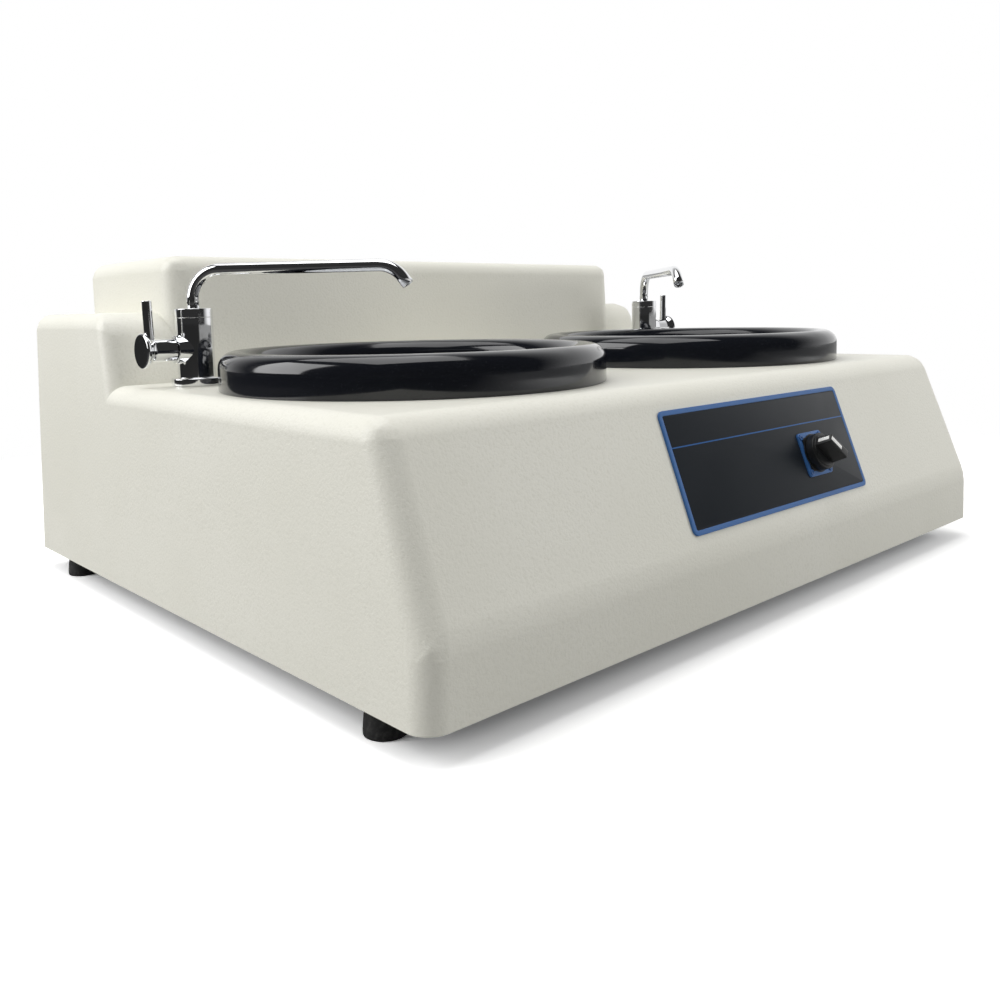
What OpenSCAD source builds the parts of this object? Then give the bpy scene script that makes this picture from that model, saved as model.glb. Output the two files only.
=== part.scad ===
// Twin-disc metallographic grinding and polishing machine.
// X runs along the front, Y runs to the back, Z is up, and z = 0 is the floor under the feet.

/* [Shell] */
// Width of the moulded shell at its rim
shell_w = 700; // [660:5:800]
// Depth of the moulded shell at its rim
shell_d = 600; // [590:5:700]
// Height of the upright skirt, from the rim to the front crease
crease_h = 47; // [35:1:60]
// Height of the deck above the rim
deck_h = 162; // [155:1:190]
// How far the front slope leans back between the crease and the deck
slope_back = 44; // [30:1:60]
// How far each side wall leans in between the rim and the deck
side_draft = 5; // [1:0.5:8]
// Thickness of the moulded wall
shell_wall = 5; // [4:0.5:6]
// Radius of the upright corners
corner_r = 16; // [12:1:24]
// Radius of the edge around the deck
deck_edge_r = 12; // [8:1:18]
// Radius of the soft bend along the front crease
crease_r = 60; // [30:5:80]

/* [Raised rear part] */
// Depth of the raised rear part where it meets the deck
rear_d = 189; // [180:1:200]
// Height of the two low wings above the deck
wing_h = 60; // [50:1:75]
// How far the wings' front faces lean back over their height
wing_lean = 15; // [5:1:22]
// Radius of the wings' front top edge
wing_front_r = 28; // [15:1:35]
// Radius of the wings' outer top edge
wing_side_r = 14; // [8:1:20]
// Width of the box that covers the motor
box_w = 576; // [540:2:600]
// Height of the box above the deck
box_h = 108; // [100:1:130]
// How far the box's front face leans back over its height
box_lean = 5; // [0:0.5:10]
// Radius of the box's edges
box_edge_r = 14; // [8:1:20]
// Radius of the raised part's upright corners
rear_corner_r = 12; // [8:1:16]

/* [Bowls] */
// Distance between the two bowls' axes
bowl_pitch = 354; // [340:2:380]
// Distance of the bowls' axes behind the front of the skirt
bowl_from_front = 222; // [215:1:232]
// Outer radius of a bowl's rolled rim
rim_r = 149; // [145:1:155]
// Width of the rolled rim
rim_w = 25; // [20:1:28]
// Height of the rim above the deck
rim_h = 29; // [24:1:36]
// Depth of a bowl's floor below the top of its rim
bowl_depth = 65; // [60:1:66]
// Wall thickness of a bowl
bowl_wall = 4; // [3:0.5:5]
// Outer radius of the tube that stands around the spindle
tube_r = 19; // [18:0.5:20]
// Height of that tube above the bowl's floor
tube_h = 16; // [12:1:18]
// Distance of the drain from a bowl's axis, along X and along Y
drain_off = 67; // [60:1:72]
// Outer radius of the drain spigot
spigot_r = 13; // [11:0.5:14]

/* [Platens] */
// Radius of the grinding platen
grind_r = 115; // [100:1:116]
// Radius of the polishing platen
polish_r = 100; // [90:1:110]
// Thickness of a platen
platen_t = 12; // [10:1:14]
// Depth of the platens' tops below the rim
platen_drop = 20; // [17:1:21]
// Outer radius of a platen's hub skirt
hub_r = 29; // [27:0.5:32]

/* [Drive] */
// Pitch diameter of the motor pulley
motor_pitch_d = 60; // [56:1:70]
// Pitch diameter of the grinding spindle's pulley
grind_pitch_d = 187; // [170:1:190]
// Pitch diameter of the polishing spindle's pulley
polish_pitch_d = 140; // [120:1:150]
// Width of a pulley's rim
pulley_w = 20; // [18:1:22]
// Width of the belt's back
belt_w = 13; // [12:0.5:13]
// Depth of the belt's section
belt_t = 8; // [7:0.5:8]
// Radius of a spindle where it runs in its bearings
spindle_r = 10; // [9:0.5:11]
// Outer radius of a spindle bearing
bearing_r = 23.5; // [22:0.5:25]
// Width of a spindle bearing
bearing_w = 14; // [12:1:15]
// Outer radius of a spindle housing's barrel
barrel_r = 31; // [29:0.5:34]
// Radius of a spindle housing's flange
housing_flange_r = 50; // [46:1:56]

/* [Motor] */
// Radius of the motor's body
motor_r = 66; // [60:1:68]
// Height of the motor's body
motor_h = 112; // [90:1:115]
// Radius of the motor's flange
motor_flange_r = 80; // [76:1:82]
// Distance of the motor's axis in front of the shell's back
motor_from_back = 95; // [92:1:96]
// Number of cooling fins around the motor
fin_count = 28; // [12:2:32]

/* [Frame and feet] */
// Height of the rubber feet, up to the shell's rim
foot_h = 20; // [16:1:30]
// Radius of a foot at the floor
foot_r = 13.3; // [12:0.1:14]
// Distance of the feet from the shell's sides
foot_in_x = 19; // [19:0.5:30]
// Distance of the feet from the shell's front and back
foot_in_y = 61; // [50:1:90]
// Thickness of the steel base plate
base_t = 3; // [2:0.5:4]
// Thickness of the drive frame's top plate
frame_t = 6; // [5:0.5:7]
// Height of the drive frame's top above the rim
frame_h = 80; // [78:0.5:82]
// Width of a square frame leg
leg_w = 30; // [25:1:32]

/* [Taps] */
// Distance of the taps' columns from the middle of the machine
tap_x = 290.7; // [285:0.1:292]
// Distance of the taps' columns behind the front of the skirt
tap_from_front = 365; // [362:1:368]
// Radius of a tap's column
column_r = 14.7; // [13:0.1:15]
// Height of a tap's column above the deck, with its cap
column_h = 62; // [58:1:70]
// Height of the separate cap ring at the top of the column
cap_h = 7.2; // [6:0.1:9]
// Radius of the tap's round foot
tap_flange_r = 20; // [18:0.5:20.5]
// Height of the valve's axis above the deck
valve_h = 29.3; // [28:0.1:32]
// Outer radius of the spout's pipe
pipe_r = 5; // [4.5:0.1:5.5]
// Height of the spout's level run above the deck
spout_h = 92.7; // [90:0.1:100]
// Length of the spout from the column to where it bends down
spout_run = 154; // [140:1:158]
// Heading of the left spout, from +X towards +Y
spout_heading = -50; // [-60:1:-40]

/* [Panel and switch] */
// Width of the control panel with its frame
panel_w = 247; // [200:1:260]
// Height of the control panel with its frame, along the slope
panel_h = 88; // [80:1:92]
// Middle of the panel, along X
panel_x = 12; // [0:1:20]
// Distance of the panel's lower edge from the crease, along the slope
panel_up = 16; // [15:0.5:18]
// Width of the panel's raised frame
panel_frame_w = 5; // [4:0.5:6]
// Middle of the switch, along X
switch_x = 69; // [40:1:90]
// Distance of the switch's axis from the crease, along the slope
switch_up = 51.7; // [48:0.1:56]
// Side of the switch's square plate
switch_plate_w = 36; // [34:1:40]
// Radius of the switch's round base
switch_base_r = 15; // [14:0.5:16]
// Height of the switch's round base above its plate
switch_base_h = 9; // [8:0.5:10]
// Length of the knob's bar
knob_bar_l = 25; // [22:0.5:28]
// Height of the knob's bar above the round base
knob_bar_h = 13; // [11:0.5:15]
// Heading of the knob's pointer at rest, turned left from straight up the slope
knob_rest = 45; // [0:5:60]

/* [Rear fittings] */
// How far the drain outlet and the water inlet stand out behind the shell
stub_out = 20; // [16:0.5:30]
// Outer radius of the drain's hose spigot
outlet_r = 12.5; // [11:0.5:13]
// Outer radius of the water inlet's thread
inlet_r = 10.5; // [9:0.1:11]
// Distance of the water inlet from the middle, along X
inlet_x = 200; // [180:1:220]
// Distance of the cable gland from the middle, along X
gland_x = 236; // [225:1:250]
// Radius of the cable gland's bore
gland_bore_r = 4.5; // [3.5:0.1:5]

/* [Fits] */
// Radial clearance of shafts and pins that turn
run_fit = 0.05; // [0.02:0.01:0.08]
// Radial clearance of pieces that are bolted or pushed home
seat_fit = 0.1; // [0.05:0.05:0.2]
// Gap between a belt's flanks and its grooves
belt_gap = 0.3; // [0.2:0.05:0.35]
// Overrun of the cuts
over = 1; // [0.5:0.5:1]

/* [Hidden] */
$fn = 96;
hex = 6;

// Heights
rim_z = foot_h;
crease_z = rim_z + crease_h;
deck_z = rim_z + deck_h;
wing_z = deck_z + wing_h;
box_z = deck_z + box_h;
base_recess = 1;
base_z = rim_z + base_recess;
base_top = base_z + base_t;
frame_z = rim_z + frame_h;
frame_under = frame_z - frame_t;
rim_top = deck_z + rim_h;
floor_z = rim_top - bowl_depth;
floor_under = floor_z - bowl_wall;
tube_top = floor_z + tube_h;
platen_top = rim_top - platen_drop;
platen_under = platen_top - platen_t;

// The front slope: its lean from upright, and the frame that lies on it at the crease
slope_a = atan(slope_back / (deck_h - crease_h));

// The control switch, measured outwards from the slope
panel_t = 1.5;
panel_frame_t = panel_t;
switch_plate_t = 1.5;
switch_base_z = panel_t + switch_plate_t;
knob_z = switch_base_z + switch_base_h;
knob_gap = 0.3;
knob_top = knob_z + knob_gap + knob_bar_h;

// Where the machine stands: its middle lies half-way between the knob and the rear stubs
bar_w = 9;
knob_low = switch_up - knob_bar_l / 2 * cos(knob_rest - asin(bar_w / knob_bar_l));
knob_out = knob_top * cos(slope_a) - knob_low * sin(slope_a);
mid_y = (knob_out - stub_out) / 2;
front_y = mid_y - shell_d / 2;
rear_y = mid_y + shell_d / 2;
rear_front_y = rear_y - rear_d;
bowl_x = bowl_pitch / 2;
bowl_y = front_y + bowl_from_front;
tap_y = front_y + tap_from_front;
motor_y = rear_y - motor_from_back;

// Outlines of the shell: side outlines as [y, z] points, front outlines as [x, z] points.
// Each takes an inset t, so that the same outline draws the outside and the cavity.
rear_sink = 30;
edge_n = 8;
function arc(cx, cy, r, a0, a1, n) = [
    for (i = [0 : n]) let (a = a0 + (a1 - a0) * i / n) [cx + r * cos(a), cy + r * sin(a)]
];
function half_w(z, t) = shell_w / 2 - side_draft * (z - rim_z) / deck_h - t;
function slope_y(z, t) = front_y + t / cos(slope_a) + (z - crease_z) * tan(slope_a);

function body_side(t, low) =
    let (r = deck_edge_r - t, zc = deck_z - t - r, y = slope_y(zc, t) + r / cos(slope_a),
         zb = crease_z - (crease_r - t) * tan(slope_a / 2))
    concat([[rear_y - t, low], [front_y + t, low]],
           arc(front_y + crease_r, zb, crease_r - t, 180, 180 - slope_a, edge_n),
           arc(y, zc, r, 180 - slope_a, 90, edge_n),
           [[rear_y - t, deck_z - t]]);

function raised_side(t, low, top, lean, h, front_r, back_r) =
    let (la = atan(lean / h), r = front_r - t, rb = back_r - t, zc = top - t - r,
         y = rear_front_y + t / cos(la) + (zc - deck_z) * tan(la) + r / cos(la))
    concat([[rear_y - t, low], [rear_front_y + t / cos(la) + (low - deck_z) * tan(la), low]],
           arc(y, zc, r, 180 - la, 90, edge_n),
           arc(rear_y - t - rb, top - t - rb, rb, 90, 0, edge_n));

function front_outline(low, top, w_low, w_top, r) = concat(
    [[-w_low, low]],
    arc(r - w_top, top - r, r, 180, 90, edge_n),
    arc(w_top - r, top - r, r, 90, 0, edge_n),
    [[w_low, low]]);

module along_x(w) {
    rotate([90, 0, 90]) linear_extrude(height = w, center = true) children();
}

module along_y(d) {
    translate([0, mid_y, 0]) rotate([90, 0, 0]) linear_extrude(height = d, center = true) children();
}

module stand_at(x, y, z) {
    translate([x, y, z]) children();
}

module on_slope(x, up, out) {
    translate([x, front_y, crease_z]) rotate([-slope_a, 0, 0])
        translate([0, -out, up]) rotate([90, 0, 0]) children();
}

// Six-sided heads and nuts, given by their width across the flats
module hexagon(across, h) {
    cylinder(d = across / cos(180 / hex), h = h, $fn = hex);
}

/* Shell */
deck_opening_r = rim_r - rim_w + bowl_wall + bowl_wall;
tap_tail_r = 8;
boss_r = 11;
boss_h = 30;
boss_off = shell_wall + boss_r - over;
base_screw_r = 3;
panel_cut_w = 48;
panel_cut_h = 46;
inlet_z = rim_z + 115;
gland_z = rim_z + 60;
gland_thread_r = 8;
drain_z = frame_z + 17;
waste_r = outlet_r + 1;
drain_x = bowl_x - drain_off;
drain_y = bowl_y + drain_off;
vent_count = 7;
vent_w = 5;
vent_h = 60;
vent_pitch = 14;
vent_z = deck_z + 20;

module shell_plan(t, r, low, top) {
    translate([0, mid_y, low]) rounded_plate(shell_w - 2 * t, shell_d - 2 * t, r - t, top - low);
}

module shell_body(t, low) {
    intersection() {
        along_x(shell_w) polygon(body_side(t, low));
        along_y(shell_d)
            polygon(front_outline(low, deck_z - t, half_w(low, t), half_w(deck_z, t), deck_edge_r - t));
        shell_plan(t, corner_r, low, deck_z);
    }
}

module shell_wings(t, low) {
    intersection() {
        along_x(shell_w)
            polygon(raised_side(t, low, wing_z, wing_lean, wing_h, wing_front_r, wing_side_r));
        along_y(shell_d)
            polygon(front_outline(low, wing_z - t, half_w(low, t), half_w(wing_z, t), wing_side_r - t));
        shell_plan(t, corner_r, low, wing_z);
    }
}

module shell_box(t, low) {
    intersection() {
        along_x(shell_w)
            polygon(raised_side(t, low, box_z, box_lean, box_h, box_edge_r, box_edge_r));
        along_y(shell_d)
            polygon(front_outline(low, box_z - t, box_w / 2 - t, box_w / 2 - t, box_edge_r - t));
        translate([0, rear_y - t - (rear_d - 2 * t) / 2, low])
            rounded_plate(box_w - 2 * t, rear_d - 2 * t, rear_corner_r - t, box_z - low);
    }
}

module shell_solid(t, low) {
    shell_body(t, low);
    shell_wings(t, deck_z - rear_sink);
    shell_box(t, deck_z - rear_sink);
}

module each_base_screw() {
    for (x = [-1, 0, 1])
        for (y = [front_y + boss_off, rear_y - boss_off])
            translate([x * (shell_w / 2 - boss_off), y, 0]) children();
}

module shell() {
    color([0.90, 0.89, 0.84])
    difference() {
        union() {
            difference() {
                shell_solid(0, rim_z);
                shell_solid(shell_wall, rim_z - over);
            }
            each_base_screw() translate([0, 0, base_top]) cylinder(r = boss_r, h = boss_h);
        }
        for (x = [-bowl_x, bowl_x])
            stand_at(x, bowl_y, deck_z - shell_wall - over)
                cylinder(r = deck_opening_r, h = shell_wall + 2 * over);
        for (x = [-tap_x, tap_x])
            stand_at(x, tap_y, deck_z - shell_wall - over)
                cylinder(r = tap_tail_r + seat_fit, h = shell_wall + 2 * over);
        each_base_screw() translate([0, 0, base_top - over])
            cylinder(r = base_screw_r + run_fit, h = boss_h - 2 * over);
        on_slope(switch_x, switch_up, -shell_wall - 2 * over)
            translate([-panel_cut_w / 2, -panel_cut_h / 2, 0])
                cube([panel_cut_w, panel_cut_h, shell_wall + 4 * over]);
        rear_hole(drain_x, drain_z, waste_r + seat_fit);
        rear_hole(-inlet_x, inlet_z, inlet_r + seat_fit);
        rear_hole(gland_x, gland_z, gland_thread_r + seat_fit);
        for (i = [0 : vent_count - 1])
            for (side = [-1, 1])
                translate([side * (vent_pitch * (i + 1)) - vent_w / 2, rear_y - shell_wall - over, vent_z])
                    cube([vent_w, shell_wall + 2 * over, vent_h]);
    }
}

module rear_hole(x, z, r) {
    stand_at(x, rear_y + over, z) rotate([90, 0, 0]) cylinder(r = r, h = shell_wall + 2 * over);
}

/* Base plate, feet and their screws */
base_fit = 0.5;
foot_screw_r = 4;
foot_top_r = 11.5;
foot_bead_h = 3;
foot_recess_r = 8.5;
foot_recess_h = 6;
foot_nut_w = 13;
foot_nut_h = 6;
foot_head_r = 7;
foot_head_h = 4.5;

module each_foot() {
    for (x = [-1, 1])
        for (y = [front_y + foot_in_y, rear_y - foot_in_y])
            translate([x * (shell_w / 2 - foot_in_x), y, 0]) children();
}

module rounded_plate(w, d, r, h) {
    linear_extrude(height = h) {
        square([w - 2 * r, d], center = true);
        square([w, d - 2 * r], center = true);
        for (x = [-1, 1])
            for (y = [-1, 1])
                translate([x * (w / 2 - r), y * (d / 2 - r)]) circle(r = r);
    }
}

module base_plate() {
    inset = shell_wall + base_fit;
    color([0.62, 0.64, 0.66])
    difference() {
        translate([0, mid_y, base_z])
            rounded_plate(shell_w - 2 * inset, shell_d - 2 * inset, corner_r - shell_wall, base_t);
        each_foot() translate([0, 0, base_z - over])
            cylinder(r = foot_screw_r + seat_fit, h = base_t + 2 * over);
        each_base_screw() translate([0, 0, base_z - over])
            cylinder(r = base_screw_r + seat_fit, h = base_t + 2 * over);
    }
}

module feet() {
    color([0.07, 0.07, 0.08])
    each_foot()
        rotate_extrude()
            polygon([[foot_recess_r, 0], [foot_r - over, 0], [foot_r, over], [foot_r, foot_bead_h],
                     [foot_r - over, foot_bead_h + over], [foot_top_r, base_z],
                     [foot_screw_r + seat_fit, base_z], [foot_screw_r + seat_fit, foot_recess_h],
                     [foot_recess_r, foot_recess_h]]);
}

module foot_screws() {
    color([0.70, 0.71, 0.73])
    each_foot() {
        translate([0, 0, foot_recess_h - foot_head_h]) cylinder(r = foot_head_r, h = foot_head_h);
        cylinder_from(foot_screw_r, foot_recess_h - foot_head_h, base_top + foot_nut_h + over);
        translate([0, 0, base_top]) hexagon(foot_nut_w, foot_nut_h);
    }
}

module cylinder_from(r, z0, z1) {
    translate([0, 0, z0]) cylinder(r = r, h = z1 - z0);
}

base_head_r = 5.5;
base_head_h = 3.5;
base_screw_l = 22;

module shell_screws() {
    color([0.70, 0.71, 0.73])
    each_base_screw() {
        cylinder_from(base_head_r, base_z - base_head_h, base_z);
        cylinder_from(base_screw_r, base_z - base_head_h, base_z + base_screw_l);
    }
}

/* Drive frame: a steel plate on square legs that carries both spindles and the motor */
leg_wall = 2.5;
frame_bar_d = 150;
spine_w = 190;
motor_hole_r = 34;
motor_bolt_r = 4;
motor_bolt_pcd = 140;
housing_bolt_r = 3;
housing_bolt_pcd = 82;
leg_x = bowl_x + 113;
leg_dy = 60;
rear_leg_x = 78;

function leg_places() = [
    [-leg_x, bowl_y - leg_dy], [-leg_x, bowl_y + leg_dy],
    [leg_x, bowl_y - leg_dy], [leg_x, bowl_y + leg_dy],
    [0, bowl_y - leg_dy], [0, bowl_y + 2 * leg_dy],
    [-rear_leg_x, motor_y + leg_dy - leg_w / 2], [rear_leg_x, motor_y + leg_dy - leg_w / 2]
];

module each_housing_bolt() {
    for (x = [-bowl_x, bowl_x])
        for (a = [45 : 90 : 315])
            translate([x, bowl_y, 0]) rotate([0, 0, a])
                translate([housing_bolt_pcd / 2, 0, 0]) children();
}

module each_motor_bolt() {
    for (a = [45 : 90 : 315])
        translate([0, motor_y, 0]) rotate([0, 0, a]) translate([motor_bolt_pcd / 2, 0, 0]) children();
}

module drive_frame() {
    beam_w = 2 * leg_x + leg_w;
    spine_d = motor_y + motor_flange_r + over - bowl_y;
    color([0.35, 0.38, 0.42])
    difference() {
        union() {
            translate([-beam_w / 2, bowl_y - frame_bar_d / 2, frame_under])
                cube([beam_w, frame_bar_d, frame_t]);
            translate([-spine_w / 2, bowl_y, frame_under]) cube([spine_w, spine_d, frame_t]);
            for (p = leg_places())
                translate([p[0] - leg_w / 2, p[1] - leg_w / 2, base_top])
                    cube([leg_w, leg_w, frame_under - base_top]);
        }
        for (p = leg_places())
            translate([p[0] - leg_w / 2 + leg_wall, p[1] - leg_w / 2 + leg_wall, base_top - over])
                cube([leg_w - 2 * leg_wall, leg_w - 2 * leg_wall, frame_under - base_top + over]);
        for (x = [-bowl_x, bowl_x])
            stand_at(x, bowl_y, frame_under - over)
                cylinder(r = barrel_r + seat_fit, h = frame_t + 2 * over);
        stand_at(0, motor_y, frame_under - over) cylinder(r = motor_hole_r, h = frame_t + 2 * over);
        each_housing_bolt() cylinder_from(housing_bolt_r + seat_fit, frame_under - over, frame_z + over);
        each_motor_bolt() cylinder_from(motor_bolt_r + seat_fit, frame_under - over, frame_z + over);
    }
}

/* Bowls: one turned profile from the rolled rim over the floor to the standing tube */
roll_r = rim_w / 2;
roll_c = rim_r - roll_r;
bowl_r = rim_r - rim_w;
floor_fillet = 9;
seat_r = barrel_r - over;
housing_top = floor_under - over - over;
shaft_hole_r = tube_r - bowl_wall;
arc_n = 10;

function bowl_profile() = concat(
    [[rim_r, deck_z]],
    arc(roll_c, rim_top - roll_r, roll_r, 0, 180, 2 * arc_n),
    arc(bowl_r - floor_fillet, floor_z + floor_fillet, floor_fillet, 0, -90, arc_n),
    [[tube_r, floor_z], [tube_r, tube_top - over], [tube_r - over, tube_top],
     [shaft_hole_r, tube_top], [shaft_hole_r, housing_top], [seat_r, housing_top], [seat_r, floor_under]],
    arc(bowl_r - floor_fillet, floor_z + floor_fillet, floor_fillet + bowl_wall, -90, 0, arc_n),
    arc(roll_c, rim_top - roll_r, roll_r - bowl_wall, 180, 0, 2 * arc_n),
    [[rim_r - bowl_wall, deck_z]]);

spigot_z = drain_z + waste_r + over;
spigot_bore = spigot_r - bowl_wall / 2;

module bowl(side) {
    color([0.03, 0.03, 0.035])
    difference() {
        union() {
            stand_at(side * bowl_x, bowl_y, 0) rotate_extrude() polygon(bowl_profile());
            stand_at(side * drain_x, drain_y, spigot_z)
                cylinder(r = spigot_r, h = floor_z - spigot_z);
        }
        stand_at(side * drain_x, drain_y, spigot_z - over)
            cylinder(r = spigot_bore, h = floor_z - spigot_z + 2 * over);
    }
}

module left_bowl() bowl(-1);
module right_bowl() bowl(1);

/* Spindles, with a shoulder that carries the platen */
spindle_foot = rim_z + 12;
pulley_seat_r = spindle_r - over / 2;
shoulder_r = spindle_r + 3;
hub_z = platen_under - 12;
cone_r = spindle_r + 1.5;
cone_tip_r = spindle_r;
cone_top = platen_top - 4;
bearing_low = frame_z - bearing_w;
bearing_high = housing_top - bearing_w - 2;
frame_pulley_gap = frame_under - 4;

module spindle(side) {
    color([0.74, 0.75, 0.77])
    stand_at(side * bowl_x, bowl_y, 0)
        rotate_extrude()
            polygon([[0, spindle_foot], [pulley_seat_r - over, spindle_foot],
                     [pulley_seat_r, spindle_foot + over], [pulley_seat_r, frame_pulley_gap],
                     [spindle_r, frame_pulley_gap], [spindle_r, bearing_high + bearing_w],
                     [shoulder_r, bearing_high + bearing_w], [shoulder_r, hub_z], [cone_r, hub_z],
                     [cone_tip_r, cone_top], [0, cone_top]]);
}

module left_spindle() spindle(-1);
module right_spindle() spindle(1);

/* Spindle housings and their bearings */
housing_flange_t = 9;
housing_low = bearing_low - 3;
lip_r = shoulder_r + 1;
spacer_r = bearing_r - 3;

module housing(side) {
    color([0.40, 0.42, 0.44])
    difference() {
        stand_at(side * bowl_x, bowl_y, 0)
            rotate_extrude()
                polygon([[spindle_r + 2, housing_low], [barrel_r, housing_low], [barrel_r, frame_z],
                         [housing_flange_r, frame_z], [housing_flange_r, frame_z + housing_flange_t],
                         [barrel_r + over, frame_z + housing_flange_t],
                         [barrel_r - over, housing_top - over], [barrel_r - 2 * over, housing_top],
                         [lip_r, housing_top], [lip_r, bearing_high + bearing_w],
                         [bearing_r, bearing_high + bearing_w], [bearing_r, bearing_high],
                         [spacer_r, bearing_high], [spacer_r, bearing_low + bearing_w],
                         [bearing_r, bearing_low + bearing_w], [bearing_r, bearing_low],
                         [spindle_r + 2, bearing_low]]);
        each_housing_bolt()
            cylinder_from(housing_bolt_r + seat_fit, frame_z - over, frame_z + housing_flange_t + over);
    }
}

module left_housing() housing(-1);
module right_housing() housing(1);

ring_t = 4;
shield_in = 1;

module bearing(z) {
    rotate_extrude()
        polygon([[spindle_r + run_fit, z], [spindle_r + ring_t, z], [spindle_r + ring_t, z + shield_in],
                 [bearing_r - ring_t, z + shield_in], [bearing_r - ring_t, z], [bearing_r - run_fit, z],
                 [bearing_r - run_fit, z + bearing_w], [bearing_r - ring_t, z + bearing_w],
                 [bearing_r - ring_t, z + bearing_w - shield_in],
                 [spindle_r + ring_t, z + bearing_w - shield_in], [spindle_r + ring_t, z + bearing_w],
                 [spindle_r + run_fit, z + bearing_w]]);
}

module bearings(side) {
    color([0.78, 0.79, 0.80])
    stand_at(side * bowl_x, bowl_y, 0) {
        bearing(bearing_low);
        bearing(bearing_high);
    }
}

module left_bearings() bearings(-1);
module right_bearings() bearings(1);

housing_bolt_w = 10;
housing_bolt_head = 4;
housing_nut_h = 5;

module housing_bolts() {
    color([0.70, 0.71, 0.73])
    each_housing_bolt() {
        cylinder_from(housing_bolt_r, frame_under - housing_nut_h - over, frame_z + housing_flange_t);
        translate([0, 0, frame_z + housing_flange_t]) hexagon(housing_bolt_w, housing_bolt_head);
        translate([0, 0, frame_under - housing_nut_h]) hexagon(housing_bolt_w, housing_nut_h);
    }
}

/* Platens: a flat disc on a hub whose skirt shields the bowl's standing tube */
skirt_wall = 4;
skirt_low = tube_top - 8;
platen_edge = 1.5;

module platen(side, r) {
    bore = cone_r + seat_fit;
    color([0.80, 0.81, 0.82])
    stand_at(side * bowl_x, bowl_y, 0)
        rotate_extrude()
            polygon([[0, platen_top], [r - platen_edge, platen_top], [r, platen_top - platen_edge],
                     [r, platen_under + platen_edge], [r - platen_edge, platen_under],
                     [hub_r + ring_t, platen_under], [hub_r, platen_under - ring_t],
                     [hub_r, skirt_low], [hub_r - skirt_wall, skirt_low],
                     [hub_r - skirt_wall, hub_z + over], [shoulder_r + ring_t, hub_z + over],
                     [shoulder_r + ring_t, hub_z], [bore, hub_z],
                     [cone_tip_r + seat_fit, cone_top], [cone_tip_r + seat_fit, cone_top + over],
                     [0, cone_top + over]]);
}

module left_platen() platen(-1, grind_r);
module right_platen() platen(1, polish_r);

/* Pulleys and V-belts: the grinding side runs in the lower groove, the polishing side in the upper */
grind_pulley_z = rim_z + 16;
polish_pulley_z = grind_pulley_z + pulley_w + 4;
belt_flank = 20;
belt_above = 2.75;
hub_wall = 9;
web_t = 8;
web_hole_count = 5;

function groove_z(side) = (side < 0 ? grind_pulley_z : polish_pulley_z) + pulley_w / 2;
function groove(rim, z) =
    let (w = belt_w / 2 + belt_gap, low = belt_t + 2 * over)
    [[rim, z - w], [rim - low, z - w + low * tan(belt_flank)],
     [rim - low, z + w - low * tan(belt_flank)], [rim, z + w]];

module pulley(side, pitch_d) {
    rim = pitch_d / 2 + belt_above;
    z0 = groove_z(side) - pulley_w / 2;
    z1 = z0 + pulley_w;
    rim_in = rim - belt_t - 6 * over;
    hub = spindle_r + hub_wall;
    mid = groove_z(side);
    color([0.45, 0.47, 0.49])
    stand_at(side * bowl_x, bowl_y, 0)
        difference() {
            rotate_extrude()
                polygon(concat([[pulley_seat_r + seat_fit, z0], [hub, z0], [hub, mid - web_t / 2],
                                [rim_in, mid - web_t / 2], [rim_in, z0], [rim, z0]],
                               groove(rim, mid),
                               [[rim, z1], [rim_in, z1], [rim_in, mid + web_t / 2],
                                [hub, mid + web_t / 2], [hub, z1], [pulley_seat_r + seat_fit, z1]]));
            for (i = [0 : web_hole_count - 1])
                rotate([0, 0, i * 360 / web_hole_count])
                    translate([(hub + rim_in) / 2, 0, z0]) cylinder(r = (rim_in - hub) / 3, h = pulley_w);
        }
}

module left_pulley() pulley(-1, grind_pitch_d);
module right_pulley() pulley(1, polish_pitch_d);

motor_shaft_r = 9.5;
motor_pulley_low = grind_pulley_z - over;
motor_pulley_high = polish_pulley_z + pulley_w + over;

module motor_pulley() {
    rim = motor_pitch_d / 2 + belt_above;
    bore = motor_shaft_r + seat_fit;
    color([0.45, 0.47, 0.49])
    stand_at(0, motor_y, 0)
        rotate_extrude()
            polygon(concat([[bore, motor_pulley_low], [rim, motor_pulley_low]],
                           groove(rim, groove_z(-1)), groove(rim, groove_z(1)),
                           [[rim, motor_pulley_high], [bore, motor_pulley_high]]));
}

module v_belt(side, pitch_d) {
    big = pitch_d / 2 + belt_above;
    small = motor_pitch_d / 2 + belt_above;
    dx = -side * bowl_x;
    dy = motor_y - bowl_y;
    span = sqrt(dx * dx + dy * dy);
    wrap = acos((big - small) / span);
    run = span * sin(wrap);
    function section(r) = [
        [r, -belt_w / 2], [r, belt_w / 2],
        [r - belt_t, belt_w / 2 - belt_t * tan(belt_flank)],
        [r - belt_t, belt_t * tan(belt_flank) - belt_w / 2]];
    color([0.09, 0.09, 0.09])
    translate([side * bowl_x, bowl_y, groove_z(side)]) rotate([0, 0, atan2(dy, dx)]) {
        rotate([0, 0, wrap]) rotate_extrude(angle = 360 - 2 * wrap) polygon(section(big));
        translate([span, 0, 0]) rotate([0, 0, -wrap])
            rotate_extrude(angle = 2 * wrap) polygon(section(small));
        for (m = [0, 1])
            mirror([0, m, 0]) rotate([0, 0, wrap]) rotate([90, 0, 0])
                linear_extrude(height = run) polygon(section(big));
    }
}

module left_belt() v_belt(-1, grind_pitch_d);
module right_belt() v_belt(1, polish_pitch_d);

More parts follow.
